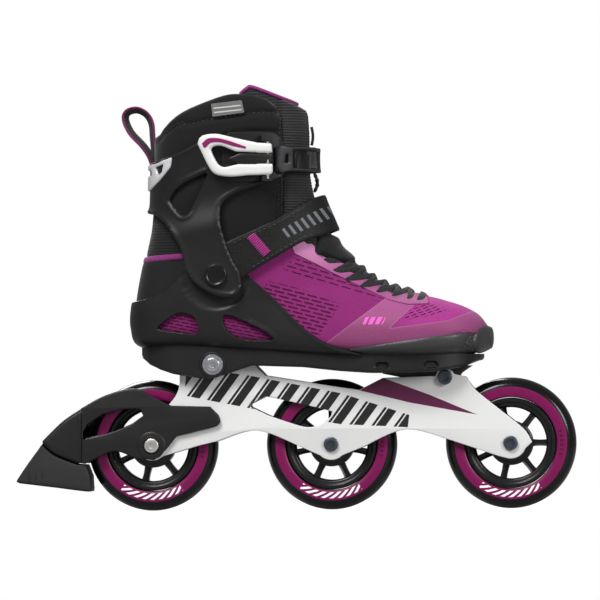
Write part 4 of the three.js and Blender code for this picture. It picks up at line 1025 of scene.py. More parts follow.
# %% Shell
PIVOT = (-85.5, 179.5)
SHELL_SIDE = outline(
    (-152, 159.5), bend((-160, 150), (-160, 128), (-150, 112)), (-135, 111.5), (-120, 106.5),
    bend((-105, 102.5), (-93, 100.5), (-78, 105)), bend((-60, 111.5), (-20, 110.5), (8, 106.5), (50, 101.5)),
    (80, 95), (94, 95), (100, 104), (113, 113), (130, 116.8), (75, 116.2),
    bend((30, 117), (5, 123), (-15, 135), (-40, 160), (-62, 180)), arc(*PIVOT, 17, 30, 150), (-111, 184),
    bend((-115, 177), (-128, 166), (-145, 161)), (-152, 159.8))
REAR_WINDOW = outline(bend((-133, 139.5), (-120, 149), (-112, 151.5), (-103, 148.5)), (-100.4, 143),
                      bend((-99.5, 138), (-102, 134.6), (-125, 137)))
FRONT_WINDOW = outline(bend((-81, 149.5), (-72, 148), (-50, 137.5), (-42, 131.5)), (-42.3, 130.2),
                       bend((-45, 129.5), (-68, 130.5), (-79, 138)), (-81, 143))
PIVOT_HOLE = arc(*PIVOT, 4.4, 0, 350)


def shell_relief(depth, x, z, _):
    """The shell is sunk round the cuff's lobe, fuller at the heel and has a raised lip along its front edge."""
    reach = np.hypot(x - PIVOT[0], z - PIVOT[1])
    sunk = -1.2 * np.clip((26.5 - reach) / 0.9, 0, 1) * (z > 150)
    heel = 2.2 * np.clip((-128 - x) / 14, 0, 1) * np.clip((172 - z) / 14, 0, 1)
    return sunk + heel + 0.5 * np.clip((3.2 - depth) / 1.5, 0, 1) * (x > -62) * (z > 118)


shape = patch(SHELL_SIDE, 0.4, 3.4, t=(4.6, 15), step=1.5, holes=(REAR_WINDOW, FRONT_WINDOW, PIVOT_HOLE),
              relief=shell_relief)
piece("shell_wrap", shape, black_plastic, "boot", ("shell",), bevel=0.6)

# %% [markdown]
# ## Sole
# The sole is the thick part under the shell. Its plan is one closed bend, its underside follows the rail and its
# wall sinks where the two vents are. We build it as rings stacked from the underside to the top.

# %% Sole
SOLE_EDGE = np.array([(117, 0), (114, 18), (103, 33), (78, 41), (40, 40), (0, 35), (-50, 31), (-75, 29), (-105, 29),
                      (-125, 26), (-138, 19), (-144, 9), (-145.5, 0)], float)
SOLE_RING = outline(bend(*SOLE_EDGE, steps=34), bend(*(SOLE_EDGE[-2::-1] * (1, -1)), steps=34))[:-1]
SLOTS = [outline(arc(x + 4, z, 2.6, 90, 270), arc(x + 8.5, z, 2.6, -90, 90)) for x, z in ((34, 109.6), (71.5, 110.2))]
BOTTOM_X = (-152, -147, -139, -131, -120, -105, -93, -78, -60, -20, 8, 30, 50, 80, 94, 100, 113, 130)
BOTTOM_Z = (126, 119, 111.8, 108, 104.6, 102, 100.5, 104.5, 110.5, 109, 105.8, 104.2, 104, 105, 107, 108.1, 113, 116.8)


def sole_top(x):
    """The sole rises from the toe to the heel."""
    return np.interp(x, (-149, -131, -60, 0, 121), (127.0, 127.6, 123.5, 119.6, 118.2))


SOLE_ROUND = 2.2    # radius of the sole's lower edge


def sole_body(ring, bottom_x, bottom_z, levels=24):
    """A closed body over a plan ring: its underside follows a height line, its edges turn in by a quarter round,
    and its wall sinks where a vent slot is."""
    x = ring[:, 0]
    y = ring[:, 1] + toe_drift(x)
    low, top = np.interp(x, bottom_x, bottom_z), sole_top(x)
    share = np.linspace(0, 1, levels)[:, None]
    z = low + (top - low) * share
    inset = SOLE_ROUND * (1 - np.sqrt(1 - (1 - np.clip((z - low) / SOLE_ROUND, 0, 1))**2))
    for line in SLOTS:
        inset = inset + 2.6 * np.clip((depth_inside(np.broadcast_to(x, z.shape), z, line) + 0.3) / 0.9, 0, 1)
    away = np.stack([x - np.clip(x, -118, 88), y], -1)
    away /= np.maximum(np.linalg.norm(away, axis=1, keepdims=True), 1e-9)
    wall = np.stack([x - away[:, 0] * inset, y - away[:, 1] * inset, z], -1)
    n, m = levels, len(x)
    i, j = np.meshgrid(np.arange(n - 1), np.arange(m), indexing="ij")
    a, b = i * m + j, i * m + (j + 1) % m
    faces = [*np.stack([a, a + m, b + m, b], -1).reshape(-1, 4)]
    points = wall.reshape(-1, 3)
    middles = [np.stack([x, np.zeros(m), height], -1) for height in (low, top)]
    points = np.concatenate([points, *middles])
    j = np.arange(m)
    k = (j + 1) % m
    base = n * m
    faces += [*np.stack([j, k, base + k, base + j], -1)]
    faces += [*np.stack([(n - 1) * m + k, (n - 1) * m + j, base + m + j, base + m + k], -1)]
    return points, faces


lug = flat_plate(outline((36, 109), (40, 103.5), (50, 101.5), (80, 95), (94, 95), (100, 104), (108, 109.5)),
                 -14.9, 14.9, (), 1.2)
piece("sole_moulding", join(sole_body(SOLE_RING, BOTTOM_X, BOTTOM_Z), lug), black_plastic,
      "boot", sharp=32)
boss = turned([(8.3, -29.4), (8.8, -30.2), (9.6, -30.0), (10.2, -29.0), (10.2, -24), (8.3, -24)], REAR_BOLT, 48)
piece("mount_boss_rear", boss, black_plastic, "boot", sharp=30)

# %% [markdown]
# ## Toe rand and bumper
# A rubber rand guards the lower edge of the toe, and a thicker bumper cap takes the knocks. Two slanted grooves
# part the bumper from the rand.

# %% Rand and bumper
RAND_SIDE = outline((14, 121.6), bend((20, 122.2), (50, 127), (100, 134), (135, 136)), (135, 116.4), (42, 116.4),
                    (27, 117.9))
BUMPER_SIDE = outline(bend((110, 128), (112.5, 135), (116.5, 139.6), (121, 141.2), (135, 140)), (135, 116.8),
                      (113, 116.8), (110, 120))


def rand_relief(depth, x, z, _):
    """Rounded edges and two slanted grooves beside the bumper."""
    lean = x - 0.55 * (z - 127)
    cuts = sum(np.clip(1 - np.abs(lean - at) / 0.7, 0, 1) for at in (104.5, 107.5))
    cuts = cuts * np.clip(depth / 2, 0, 1) * (np.abs(z - 127.5) < 5.5)
    return 0.9 * crown(depth, 3.0) - 0.9 - 1.3 * cuts - 0.9 * np.clip((x - 98) / 14, 0, 1)


shape = patch(RAND_SIDE, -0.6, 2.2, t=(8, 16), step=1.1, relief=rand_relief)
piece("toe_rand_rubber", shape, toe_rubber, "boot", ("toe_rand",))
shape = patch(BUMPER_SIDE, 0.6, 2.9, t=(11, 16), step=1.0, trim=lambda p: 24 - p[..., 1], relief=rounded(1.9, 6.0))
piece("toe_bumper_cap", shape, toe_rubber, "boot", ("toe_bumper",))

# %% [markdown]
# ## The fabric upper
# The upper is a knitted mesh in two purples with slits woven into it. A thin clear film is pressed over the parts
# that take the load: a band along the laces with a row of teeth, a broad strip across the instep and the rim of
# the toe. We keep the zones as marks, so that the finish can cut them crisply, and use the film's teeth as the
# real border of a thin patch of its own.

# %% Upper
SIDES = ((-1, "outer_side"), (1, "inner_side"))
THROAT = [(-40, 215), (-17, 203), (-2, 193), (14.5, 185), (24, 178), (38, 171), (49, 165), (62, 164.5), (67, 163)]
FAR = 400
LEG_LOW, LEG_HIGH = np.radians(21), np.radians(165)
LEG_ROOM = outline(arc(*PIVOT, 14, 165, 21), (PIVOT[0] + FAR * np.cos(LEG_LOW), PIVOT[1] + FAR * np.sin(LEG_LOW)),
                   (0, 700), (PIVOT[0] + FAR * np.cos(LEG_HIGH), PIVOT[1] + FAR * np.sin(LEG_HIGH)))
THROAT_ROOM = outline(*THROAT, (70, 200), (10, 260), (-60, 260))
SLIT_ZONES = {
    "slits_low": outline((-58, 158), (-47, 176), (-30, 172), (-8, 165), (10, 157), (3, 145), (-8, 131), (-20, 133),
                         (-38, 145)),
    "slits_high": outline((-40, 186), (-22, 194), (-8, 188), (15, 178), (33, 168), (46, 160), (40, 156), (20, 164),
                          (0, 171), (-25, 177)),
    "slits_toe": outline((54, 143), (62, 154), (69, 159.5), (82, 157), (96, 151), (84, 147.5), (68, 144)),
    # this zone gives the window knit its slits and also its painted shade
    "slits_windows": outline((-146, 126), (-128, 152), (-116, 158), (-58, 154), (-34, 126)),
    "chips": outline((25.5, 141), (28, 147), (44, 147), (41.5, 141)),
    "film": outline((-12, 120), (52, 168), (60, 190), (64, 190), (72, 162), (47, 138.2), (90, 143.8), (110, 150.5),
                    (118, 146), (140, 146), (140, 100), (-12, 100)),
}


def knitted_mesh():
    """Knit in two purples. Slits are bars in slanted rows, staggered from row to row. The knit seen through the
    shell's windows is darkened with painted shade. The film is glossier, paler and greyer, and painted light makes
    it brighter higher up. Its edge is a thin pale line, a painted highlight of a raised rim."""
    material, tree, shader = finish("knitted mesh", 0.8, Sheen_Weight=0.08, Sheen_Roughness=0.5,
                                    Sheen_Tint=(0.9, 0.5, 0.8, 1), Specular_IOR_Level=0.14)
    spot, (x, _, z) = place_mm(tree)

    def slits(zone, pitch, row, long, tall, lean):
        """Short bars in rows that lean and shift from one to the next, inside a zone."""
        down = plus(tree, z, times(tree, x, lean))
        level = calc(tree, "FLOOR", calc(tree, "DIVIDE", down, row))
        shift = times(tree, level, pitch * 0.37)
        bars = stripes(tree, plus(tree, x, shift), pitch, long, 1.0)
        thin = stripes(tree, down, row, tall, 0.5)
        return times(tree, bars, thin, smooth(tree, number_mark(tree, zone), 0.0, 3.0))

    cut = calc(tree, "MAXIMUM", slits("slits_low", 9.4, 3.1, 7.2, 1.15, 0.26),
               slits("slits_high", 9.4, 3.5, 6.6, 0.95, 0.30))
    cut = calc(tree, "MAXIMUM", cut, slits("slits_toe", 5.2, 2.3, 3.4, 0.75, -0.35))
    # painted shade: the knit seen through the shell's recessed windows is darkened
    shade = smooth(tree, number_mark(tree, "slits_windows"), 0.0, 4.0)
    cut = calc(tree, "MAXIMUM", cut, slits("slits_windows", 7.2, 2.5, 5.6, 0.9, 0.2))
    film_depth = number_mark(tree, "film")
    film = smooth(tree, film_depth, -0.15, 0.15)
    cut = times(tree, cut, minus(tree, 1.0, film))
    # painted highlight: a pale line along the film's border stands in for light on a raised rim
    lip = times(tree, film, smooth(tree, film_depth, 1.2, 0.5))
    knit = put(tree, "TexVoronoi", {"Vector": spot, "Scale": 1.15}).outputs["Distance"]
    toe = smooth(tree, x, 30.0, 70.0)
    base = blend_colours(tree, grain(tree, spot, 25.0), (0.185, 0.014, 0.112), (0.245, 0.022, 0.155))
    base = blend_colours(tree, toe, base, (0.34, 0.036, 0.225))
    # painted shade darkens the knit inside the shell's windows
    base = blend_colours(tree, times(tree, shade, 0.45), base, (0.10, 0.008, 0.058))
    base = blend_colours(tree, times(tree, knit, 0.35), base, (0.10, 0.008, 0.058))
    # painted light: the film is paler higher up and darker low down, as if lit from above
    film_painted_light = blend_colours(tree, smooth(tree, z, 128.0, 168.0), (0.19, 0.045, 0.115), (0.34, 0.085, 0.23))
    colour = blend_colours(tree, times(tree, film, 0.85), base, film_painted_light)
    colour = blend_colours(tree, cut, colour, (0.062, 0.003, 0.032))
    # the painted highlight along the film's border is laid on here
    colour = blend_colours(tree, times(tree, lip, 0.35), colour, (0.42, 0.13, 0.30))
    chips = times(tree, stripes(tree, plus(tree, x, times(tree, z, -0.5)), 5.2, 3.2, 0.3),
                 smooth(tree, number_mark(tree, "chips"), 0.0, 0.4))
    colour = blend_colours(tree, chips, colour, (0.78, 0.09, 0.50))
    rough = put(tree, "MapRange", {0: film, 3: 0.82, 4: 0.46}).outputs[0]
    ridge = minus(tree, plus(tree, times(tree, knit, 0.35), film),
                 times(tree, cut, 1.6))
    feed(tree, shader, colour, rough, ridge, 0.45)
    return material


upper_finish = knitted_mesh()
shape = patch(None, -4.0, 0.0, t=(4.2, 16), g=(-0.5, 0.5), step=1.5, holes=(LEG_ROOM, THROAT_ROOM),
              relief=lambda depth, x, z, v: 1.6 * np.clip((x - 90) / 20, 0, 1) * (z > 134), zones=SLIT_ZONES)
piece("upper_knit", shape, upper_finish, "boot", ("upper",), bevel=0.5)

# %% [markdown]
# ## Film at the throat
# The film along the laces is a thin patch of its own, whose border has teeth. Its thickness gives the teeth a real
# edge that catches the light. There is one film on each side of the throat.

# %% Film at the throat
TEETH = outline((-30, 209), (-20, 208), (-17, 203), (-11, 203.4), (-10.6, 196.4), (-2, 192.4), (1.5, 196), (5.2, 194),
                (7.5, 188.2), (10, 190.6), (14.6, 188.6), (15, 182.2), (24, 177.6), (27, 180.8), (30.2, 179),
                (32, 174.2), (35, 176), (38.4, 174.2), (40, 169), (49, 163.9), (52, 166.9), (56, 166.8), (62, 166),
                (74, 164), (76, 157), (60, 156.6), (46, 160.2), (34, 166), (20, 172.6), (4, 180.4), (-8, 187),
                (-26, 196))


def throat_film():
    """Pale semi-gloss film with a faint pressed texture, and a painted highlight that makes it paler toward the top.
    """
    material, tree, shader = finish("throat film", 0.48, Specular_IOR_Level=0.25)
    spot, (_, _, z) = place_mm(tree)
    low = blend_colours(tree, grain(tree, spot, 14.0), (0.25, 0.062, 0.17), (0.31, 0.082, 0.22))
    # painted highlight: the film turns paler toward its top
    colour = blend_colours(tree, smooth(tree, z, 176.0, 206.0), low, (0.46, 0.16, 0.34))
    feed(tree, shader, colour, None, grain(tree, spot, 0.8), 0.03)
    return material


film_finish = throat_film()
for side, key in SIDES:
    shape = patch(TEETH, -0.4, 0.95, t=(4.4, 12.6), g=(0.0, 0.5) if side < 0 else (0.5, 1.0), step=0.9,
                  holes=(LEG_ROOM,), only=side)
    piece(f"throat_film_{key}", shape, film_finish, "boot", (f"lace_guide_{key}",), bevel=0.25)

# %% [markdown]
# ## Heel counter and trim
# A smooth moulded counter cups the heel, with a purple band along its top. Under the foot lie a footbed and a
# shock pad, which can be seen only from above.

# %% Heel counter
COUNTER_SIDE = outline((-150, 150), (-170, 150), (-170, 191.4), bend((-146, 191.4), (-130, 193), (-104, 194.6)),
                       (-98, 150))
BAND_SIDE = outline((-170, 189), bend((-146, 189.3), (-130, 190.8), (-111, 192)), bend((-111, 196.4), (-130, 195.4),
                    (-146, 193.8)), (-170, 193.4))
counter_plastic = moulded_plastic("heel counter film", (0.012, 0.012, 0.013), 0.25, 1.4, 0.02, 0.2)


def trim_textile(dark=(0.16, 0.014, 0.12), light=(0.26, 0.036, 0.20), pitch=1.1, way=(0.95, 0.3)):
    """A woven band: fine cross ribs between a dark and a light thread. Way is the band's direction in x and z."""
    material, tree, shader = finish("woven trim", 0.7, Sheen_Weight=0.1, Specular_IOR_Level=0.2)
    _, (x, _, z) = place_mm(tree)
    ribs = stripes(tree, slant(tree, x, z, *way), pitch, pitch * 0.5, pitch * 0.35)
    feed(tree, shader, blend_colours(tree, ribs, dark, light), None, ribs, 0.2)
    return material


trim_finish = trim_textile()
shape = patch(COUNTER_SIDE, -1.5, 0.4, t=(3.6, 8), g=(0.2, 0.8), step=1.4,
              relief=lambda depth, x, z, v: 1.4 * crown(depth, 6.0) * np.clip((-120 - x) / 12, 0, 1))
piece("heel_counter_cup", shape, counter_plastic, "boot", ("heel_counter",))
shape = patch(BAND_SIDE, -0.6, 0.9, t=(3.2, 6.4), g=(0.15, 0.85), step=0.9,
              relief=lambda depth, *_: crown(depth, 2.6))
piece("heel_trim_band", shape, trim_finish, "boot")


# %% [markdown]
# ## Footbed and shock pad
# Under the foot lie a footbed with a brushed knit top and a shock pad of soft rubber. Their shapes come from the
# frame as they are.

# %% Footbed and shock pad
def footbed_textile():
    """Brushed knit with a faint weave."""
    material, tree, shader = finish("footbed knit", 0.95, Sheen_Weight=0.3)
    _, (x, y, _) = place_mm(tree)
    weave = times(tree, stripes(tree, x, 1.6, 0.9, 0.6), stripes(tree, y, 1.6, 0.9, 0.6))
    feed(tree, shader, blend_colours(tree, weave, (0.02, 0.02, 0.021), (0.05, 0.05, 0.052)), None, weave, 0.2)
    return material


dress(footbed_textile(), "footbed")
dress(brake_rubber, "heel_shock_pad")

# %% [markdown]
# ## Padded collar
# The collar is foam between two knits, sewn through along a few lines. The foam swells between the lines and the
# border rolls over. We raise and lower the patch's two skins with the distance to the border and to the sewn
# lines.

# %% Collar
def along_line(x, z, line):
    """Distance to an open line: minus the depth inside the line walked there and back."""
    return -depth_inside(x, z, np.vstack([line, line[::-1]]))


COLLAR_SIDE = outline(arc(*PIVOT, 15, 163, 24), (-32.8, 201.5), (-32.8, 288), bend((-33.4, 298), (-36.5, 306),
                      (-42.5, 312), (-51, 315.6), (-65, 317.4), (-80, 316), (-110, 305.4), (-124, 296.6), (-131, 288)),
                      (-150, 284), (-160, 195.5))
SEWN_LINES = [bend((-130, 283), (-124, 289), (-111, 297), (-107.5, 294.5), (-90, 298), (-60, 302.6), (-37, 303.5)),
              bend((-37, 303.5), (-36, 299), (-37.2, 280), (-38, 240), (-40, 214)),
              bend((-128, 263), (-112, 268), (-96, 276), (-80, 285), (-60, 289), (-37, 288))]


def collar_relief(depth, x, z, _):
    """The roll at the border and the sewn valleys, with a little swell between them."""
    valley = sum(np.exp(-(along_line(x, z, line) / 1.7)**2) for line in SEWN_LINES)
    return 3.0 * crown(depth, 6.0) - 3.0 - 1.9 * np.clip(valley, 0, 1) + 0.4 * np.sin(x / 9) * np.cos(z / 8)


print("sewn lines:", len(SEWN_LINES))


# %% [markdown]
# ## Knit and seams
# Dense knit shows fine threads close up and ribs from further away. The collar is ribbed only low at the heel, where
# it has to stretch, and plain above. Thread is laid along two of the sewn valleys.

# %% Collar knit and seams
def knit_pad(name, colour, rib, low_only=False, sheen=0.12):
    """Dense knit: fine threads, cross ribs of a pitch, everywhere or only low at the heel, and a soft bloom."""
    material, tree, shader = finish(name, 0.85, Sheen_Weight=sheen, Sheen_Roughness=0.5, Specular_IOR_Level=0.2)
    spot, (x, _, z) = place_mm(tree)
    weave = put(tree, "TexVoronoi", {"Vector": spot, "Scale": 1.1}).outputs["Distance"]
    ribs = stripes(tree, z, rib, rib * 0.55, rib * 0.4)
    if low_only:
        low = times(tree, smooth(tree, z, 232.0, 222.0), smooth(tree, x, -92.0, -100.0))
        ribs = times(tree, ribs, low)
    height = plus(tree, times(tree, weave, 0.4), ribs)
    dark = tuple(c * 0.5 for c in colour)
    light = tuple(c * 1.3 for c in colour)
    feed(tree, shader, blend_colours(tree, height, dark, light), None, height, 0.4)
    return material


collar_finish = knit_pad("collar knit", (0.009, 0.0088, 0.0088), 2.2, low_only=True)
shape = patch(COLLAR_SIDE, -8.0, 0.0, t=(0, 6.6), step=1.7, relief=collar_relief,
              under=lambda depth, *_: 3.0 - 3.0 * crown(depth, 5.0))
collar = piece("collar_padding", shape, collar_finish, None, ("liner_collar",), sharp=60)
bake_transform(collar)
seam_thread = moulded_plastic("seam thread", (0.045, 0.045, 0.046), 0.7, 0.4, 0.05)
piece("collar_seams", join(*[stitches(line, -1.6, side, 2.2, 1.4, 0.6) for side in (-1, 1) for line in (
    SEWN_LINES[0][6:], np.column_stack([np.interp(np.linspace(303, 232, 30), SEWN_LINES[1][::-1, 1],
                                                  SEWN_LINES[1][::-1, 0]), np.linspace(303, 232, 30)]))]),
      seam_thread, "cuff")

# %% [markdown]
# ## Tongue
# The tongue runs from the lacing to above the collar. Its front is cross-ribbed padding, and a purple cord is
# sewn along its top edge. Two wings inside the collar keep it centred. The lower part lies under the laces.

# %% Tongue
TONGUE_TOP = bend((-67, 317.4), (-62, 321.6), (-57, 322.8), (-39, 316), (-20.5, 308.8))
TONGUE_SIDE = outline((67, 163.6), *[(x + 0.4, z + 0.5) for x, z in THROAT[-2:1:-1]], (-19, 204.6), (-32.3, 201.4),
                      (-32.3, 313.6), bend((-32.3, 313.6), (-20.5, 308.8), (-8, 302)), (-2, 290), (10, 240), (40, 200),
                      (80, 175))


def tongue_relief(depth, _, z, __):
    """A crowned pad with cross ribs above the strap."""
    ribs = 0.25 * np.sin(2 * np.pi * z / 2.1) * (z > 246) * np.clip(depth / 4, 0, 1)
    return np.where(z > 206, 3.4, 2.6) * (crown(depth, 6.0) - 1) + ribs


shape = patch(TONGUE_SIDE, lambda t: np.interp(t, [0, 4.4, 5.6, 12], [-11, -11, -5.5, -5.5]),
              lambda t: np.interp(t, [0, 3.6, 4.6, 5.4, 9, 12], [-0.2, -0.2, 1.0, 2.2, 1.6, 0.2]), t=(0, 12.6),
              g=(-0.3, 0.3), step=1.0, relief=tongue_relief)
tongue_finish = knit_pad("tongue knit", (0.022, 0.022, 0.023), 2.1)
tongue = piece("tongue_padding", shape, tongue_finish, None, ("tongue_upper", "tongue_lower"),
               sharp=60)
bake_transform(tongue)

WING_SIDE = outline((-66, 286), *TONGUE_TOP, (-22, 286))
shape = patch(WING_SIDE, -11.6, -8.0, t=(0, 2.2), g=(-0.34, 0.34), step=1.4, relief=rounded(1.2, 4.0))
wings = piece("tongue_wings", shape, tongue_finish, "cuff", sharp=60)

piping_finish = trim_textile((0.17, 0.015, 0.12), (0.31, 0.04, 0.23), way=(0.92, -0.38))
edge_t, edge_g = find_on_boot(TONGUE_TOP, -8.5)
round_t = np.concatenate([edge_t, edge_t[::-1]])
round_g = np.concatenate([edge_g, -edge_g[::-1]])
path = boot_skin(round_t, round_g, -8.0)
up = np.tile([0.0, 0.0, 1.0], (len(path), 1))
across = np.cross(directions(path), up)
piece("tongue_piping", drawn_out(path, across, up, 3.0, 3.0, round_count=12), piping_finish,
      "cuff")

# %% [markdown]
# ## Laces
# One flat lace crosses the throat in a row of X shapes. Each run is a flat band from eyelet to eyelet, and where
# two runs meet the second one passes over the first. The end is tucked under a keeper below the instep strap.

# %% Laces
LACE_ROWS = (10.9, 10.2, 9.4, 8.5, 7.6, 6.7, 5.9, 5.3)
LACE_SPREAD = np.radians(36)


def woven_lace():
    """A flat braid: slanted threads both ways."""
    material, tree, shader = finish("woven lace", 0.8, Sheen_Weight=0.1, Specular_IOR_Level=0.2)
    _, (x, y, _) = place_mm(tree)
    one = stripes(tree, plus(tree, x, y), 1.5, 0.8, 0.5)
    two = stripes(tree, minus(tree, x, y), 1.5, 0.8, 0.5)
    braid = plus(tree, one, two)
    feed(tree, shader, blend_colours(tree, braid, (0.006, 0.006, 0.0065), (0.018, 0.018, 0.019)), None, braid,
         0.15)
    return material


def lace_run(start, stop, from_side, over):
    """A band from one edge of the throat at section start to the other at section stop. It dips into the
    eyelets and humps over the middle by the amount given."""
    share = np.linspace(0, 1, 25)
    angle = from_side * LACE_SPREAD * (1 - 2 * share)
    lift = 1.9 - 1.6 * np.abs(2 * share - 1)**5 + over * np.exp(-((share - 0.5) / 0.16)**2)
    t = start + (stop - start) * share
    path = last_point(t, angle, lift)
    up = last_point(t, angle, lift + 1) - path
    up /= np.linalg.norm(up, axis=1, keepdims=True)
    across = np.cross(directions(path), up)
    return drawn_out(path, across, up, 5.0, 1.1, round_count=10, power=0.7)


runs = [lace_run(a, b, side, over) for a, b in zip(LACE_ROWS[:-1], LACE_ROWS[1:])
        for side, over in ((1, 0.0), (-1, 1.2))]
runs.append(lace_run(11.3, 11.2, 1, 0.0))
lace_finish = woven_lace()
piece("lace_woven", join(*runs), lace_finish, "boot", ("lace",), sharp=40)
KEEPER = outline((-7, 196), (-6.6, 210), (0, 212), (8, 207.5), (17, 200), (21, 197), (22, 192), (14, 190), (5, 193))
shape = patch(KEEPER, 1.6, 4.8, t=(4.3, 7.4), g=(-0.2, 0.2), step=1.0,
              relief=lambda depth, x, z, v: 1.8 * crown(depth, 2.6) - 1.8 + 0.7 * np.sin((x - z) / 4.2))
piece("lace_keeper", shape, collar_finish, "boot", sharp=50)

# %% [markdown]
# ## Instep strap
# A strap of grained leatherette crosses the instep and holds the heel down. It is sewn along both edges, with a
# purple bar of thread where it is anchored. A row of pale slanted bars is printed near its nose.

# %% Strap
STRAP_SIDE = outline((-88, 199.5), (-78, 204.5), (-40, 221), (-12, 238), bend((-6, 240.6), (10, 241.5), (30, 241)),
                     (30, 213), bend((8, 213), (3, 212.8), (-20, 204.6)), (-60, 181), (-70, 175))


def leatherette():
    """Black coated fabric: a pebble grain from cell noise, soft creases and printed bars inside their zone."""
    material, tree, shader = finish("grained leatherette", 0.52, Specular_IOR_Level=0.2)
    spot, (x, _, z) = place_mm(tree)
    pebble = put(tree, "TexVoronoi", {"Vector": spot, "Scale": 0.9}, feature="SMOOTH_F1").outputs["Distance"]
    along = slant(tree, x, z, 0.86, 0.5)
    lean = plus(tree, along, times(tree, z, 0.12))
    bars = times(tree, stripes(tree, lean, 5.6, 2.3, 0.3), smooth(tree, number_mark(tree, "print"), 0, 0.4))
    colour = blend_colours(tree, pebble, (0.005, 0.005, 0.0047), (0.012, 0.012, 0.0113))
    colour = blend_colours(tree, times(tree, bars, 0.85), colour, (0.16, 0.17, 0.185))
    crease = grain(tree, spot, 9.0, 3.0)
    feed(tree, shader, colour, None, plus(tree, pebble, times(tree, crease, 0.8)), 0.25)
    return material


strap_finish = leatherette()
PRINT_ZONE = outline((-33, 206.6), (-36.5, 213.6), (-22, 222), (-8, 230), (-2, 232), (2, 224), (-5, 220))


def nose(v):
    """The strap runs straight over the instep, a little off the boot."""
    return 2.8 * np.exp(-(v / 24)**2)


shape = patch(STRAP_SIDE, 3.9, 5.9, t=(2.2, 7.6), g=(-0.42, 0.42), step=1.3,
              relief=lambda depth, x, z, v: 0.7 * crown(depth, 3.0) - 0.7 + nose(v),
              under=lambda *place: nose(place[-1]), trim=lambda p: np.where(p[..., 1] > 0, p[..., 0] + 46, DEEP),
              holes=(arc(*PIVOT, 9.5, 0, 350, 30),), zones={"print": PRINT_ZONE})
piece("instep_strap_leather", shape, strap_finish, "boot", ("instep_strap",))
thread = moulded_plastic("dark thread", (0.05, 0.05, 0.052), 0.7, 0.4, 0.05)
piece("instep_strap_seams", join(
    stitches([(-72, 204.2), (-40, 218.2), (-13, 234.6), (-8, 237)], 5.9),
    stitches([(-58, 185.4), (-20, 208), (0, 215.6)], 5.9)), thread, "boot")
purple_thread = trim_textile((0.055, 0.004, 0.03), (0.42, 0.03, 0.24), 1.5, (0.65, -0.76))
shape = patch(outline((-61.6, 207.6), (-55.8, 212), (-43.4, 197.6), (-48.6, 192.8)), 5.6, 6.9, t=(3.5, 6.6),
              g=(0.05, 0.45), step=0.7, relief=rounded(0.6, 1.4))
piece("instep_strap_tack", shape, purple_thread, "boot")

# %% [markdown]
# ## Cuff
# The cuff is a stiff moulding that turns on two rivets at the ankle. It has a window at the back of each side, a
# rolled rim and a bright insert at the rear. It stands off the boot round the rivets, so that it clears the
# shell, and the offset eases from one value to the other up the leg.

# %% Cuff
CUFF_SIDE = outline(
    bend((-134, 226.5), (-125, 219), (-113, 200), (-109, 183), (-100, 172), (-85, 164), (-72, 163.5), (-66, 170),
         (-67, 182)),
    bend((-72, 190), (-78, 205), (-82, 222), (-80, 235), (-68, 243)), (-38, 252), bend((-35, 253), (-33, 256),
         (-33, 260)), (-33, 278), arc(-43, 278.5, 10, 0, 90), (-60, 288), bend((-80, 286), (-98, 281), (-110, 275),
         (-128, 268.5), (-150, 263)), (-150, 229))
CUFF_WINDOW = outline((-121.4, 235.4), (-122, 237), bend((-119, 243), (-110, 250), (-92, 258)), (-91.4, 256.6),
                      (-105.4, 229), bend((-107, 226.4), (-110, 225), (-113, 226.4), (-119, 232.6)))


def cuff_inside(t):
    """How far the cuff's inside stands off the boot: 0.4 mm high up, 6.7 mm at the rivets."""
    share = np.clip((t - 2.5) / 1.2, 0, 1)
    return 0.4 + 6.3 * share * share * (3 - 2 * share)


def cuff_relief(depth, x, z, _):
    """A rolled rim, a sunk field and a crease from the window to the buckle."""
    rim = 0.9 * np.exp(-((depth - 2.0) / 1.3)**2)
    return rim + 0.6 * crown(depth, 2.0) - 0.6 - 0.5 * np.exp(-(along_line(x, z, CREASE) / 1.0)**2)


RIVET_SEAT = 47.1   # where the rivets' heads rest, from the middle of the skate
CREASE = np.array([(-105, 228), (-91, 258), (-86, 266)], float)
shape = patch(CUFF_SIDE, cuff_inside, lambda t: cuff_inside(t) + 3.1, t=(0.9, 7.3), step=1.2,
              holes=(CUFF_WINDOW, PIVOT_HOLE), relief=cuff_relief)
piece("cuff_moulding", shape, black_plastic, "cuff", ("cuff",), bevel=0.5)
for side, key in SIDES:
    head = [(0.01, 1.5), (3.0, 1.6), (6.0, 1.9), (6.8, 2.5), (7.6, 2.6), (8.2, 2.2), (8.5, 1.4), (8.5, 0), (4.0, 0),
            (4.0, -8.5), (0.01, -8.5)]
    r, h = np.array(head).T
    disc = turned(np.column_stack([r, side * (RIVET_SEAT + h)]), PIVOT, 64, closed=False)
    piece(f"rivet_{key}", turned_round(disc, side > 0), hub_plastic, "boot",
          (f"cuff_rivet_{key}",), sharp=30)

# %% [markdown]
# ## Rear insert
# A bright insert closes the rear of the cuff. It is a patch with two slots that stands just proud of the moulding.

# %% Rear insert
INSERT_SIDE = outline((-150, 263.5), (-133, 265), (-119, 270), bend((-121, 262), (-130, 252), (-138, 245)),
                      (-150, 244))
INSERT_SLOTS = (outline((-133, 262.4), (-126, 264.8), (-127.4, 258.6), (-130.6, 256)),
                outline((-150, 254.5), (-136, 256.6), (-136.4, 260.6), (-150, 259.4)))
chrome = moulded_plastic("bright insert", (0.60, 0.60, 0.62), 0.16, 1.2, 0.004, 1.0, shine=0.5)
shape = patch(INSERT_SIDE, 3.0, 5.1, t=(0.8, 3.4), step=0.9, g=(0.1, 0.9), holes=INSERT_SLOTS,
              relief=rounded(0.5, 1.6))
piece("cuff_rear_bright", shape, chrome, "cuff", ("cuff_rear_insert",), bevel=0.2)

# %% [markdown]
# ## Top buckle
# A ratchet buckle closes the cuff. The base plate is riveted to the cuff, the white lever turns on a pin between
# two ears, and a tab inside the lever lets the toothed strap go. The teeth are moulded ridges across the strap.

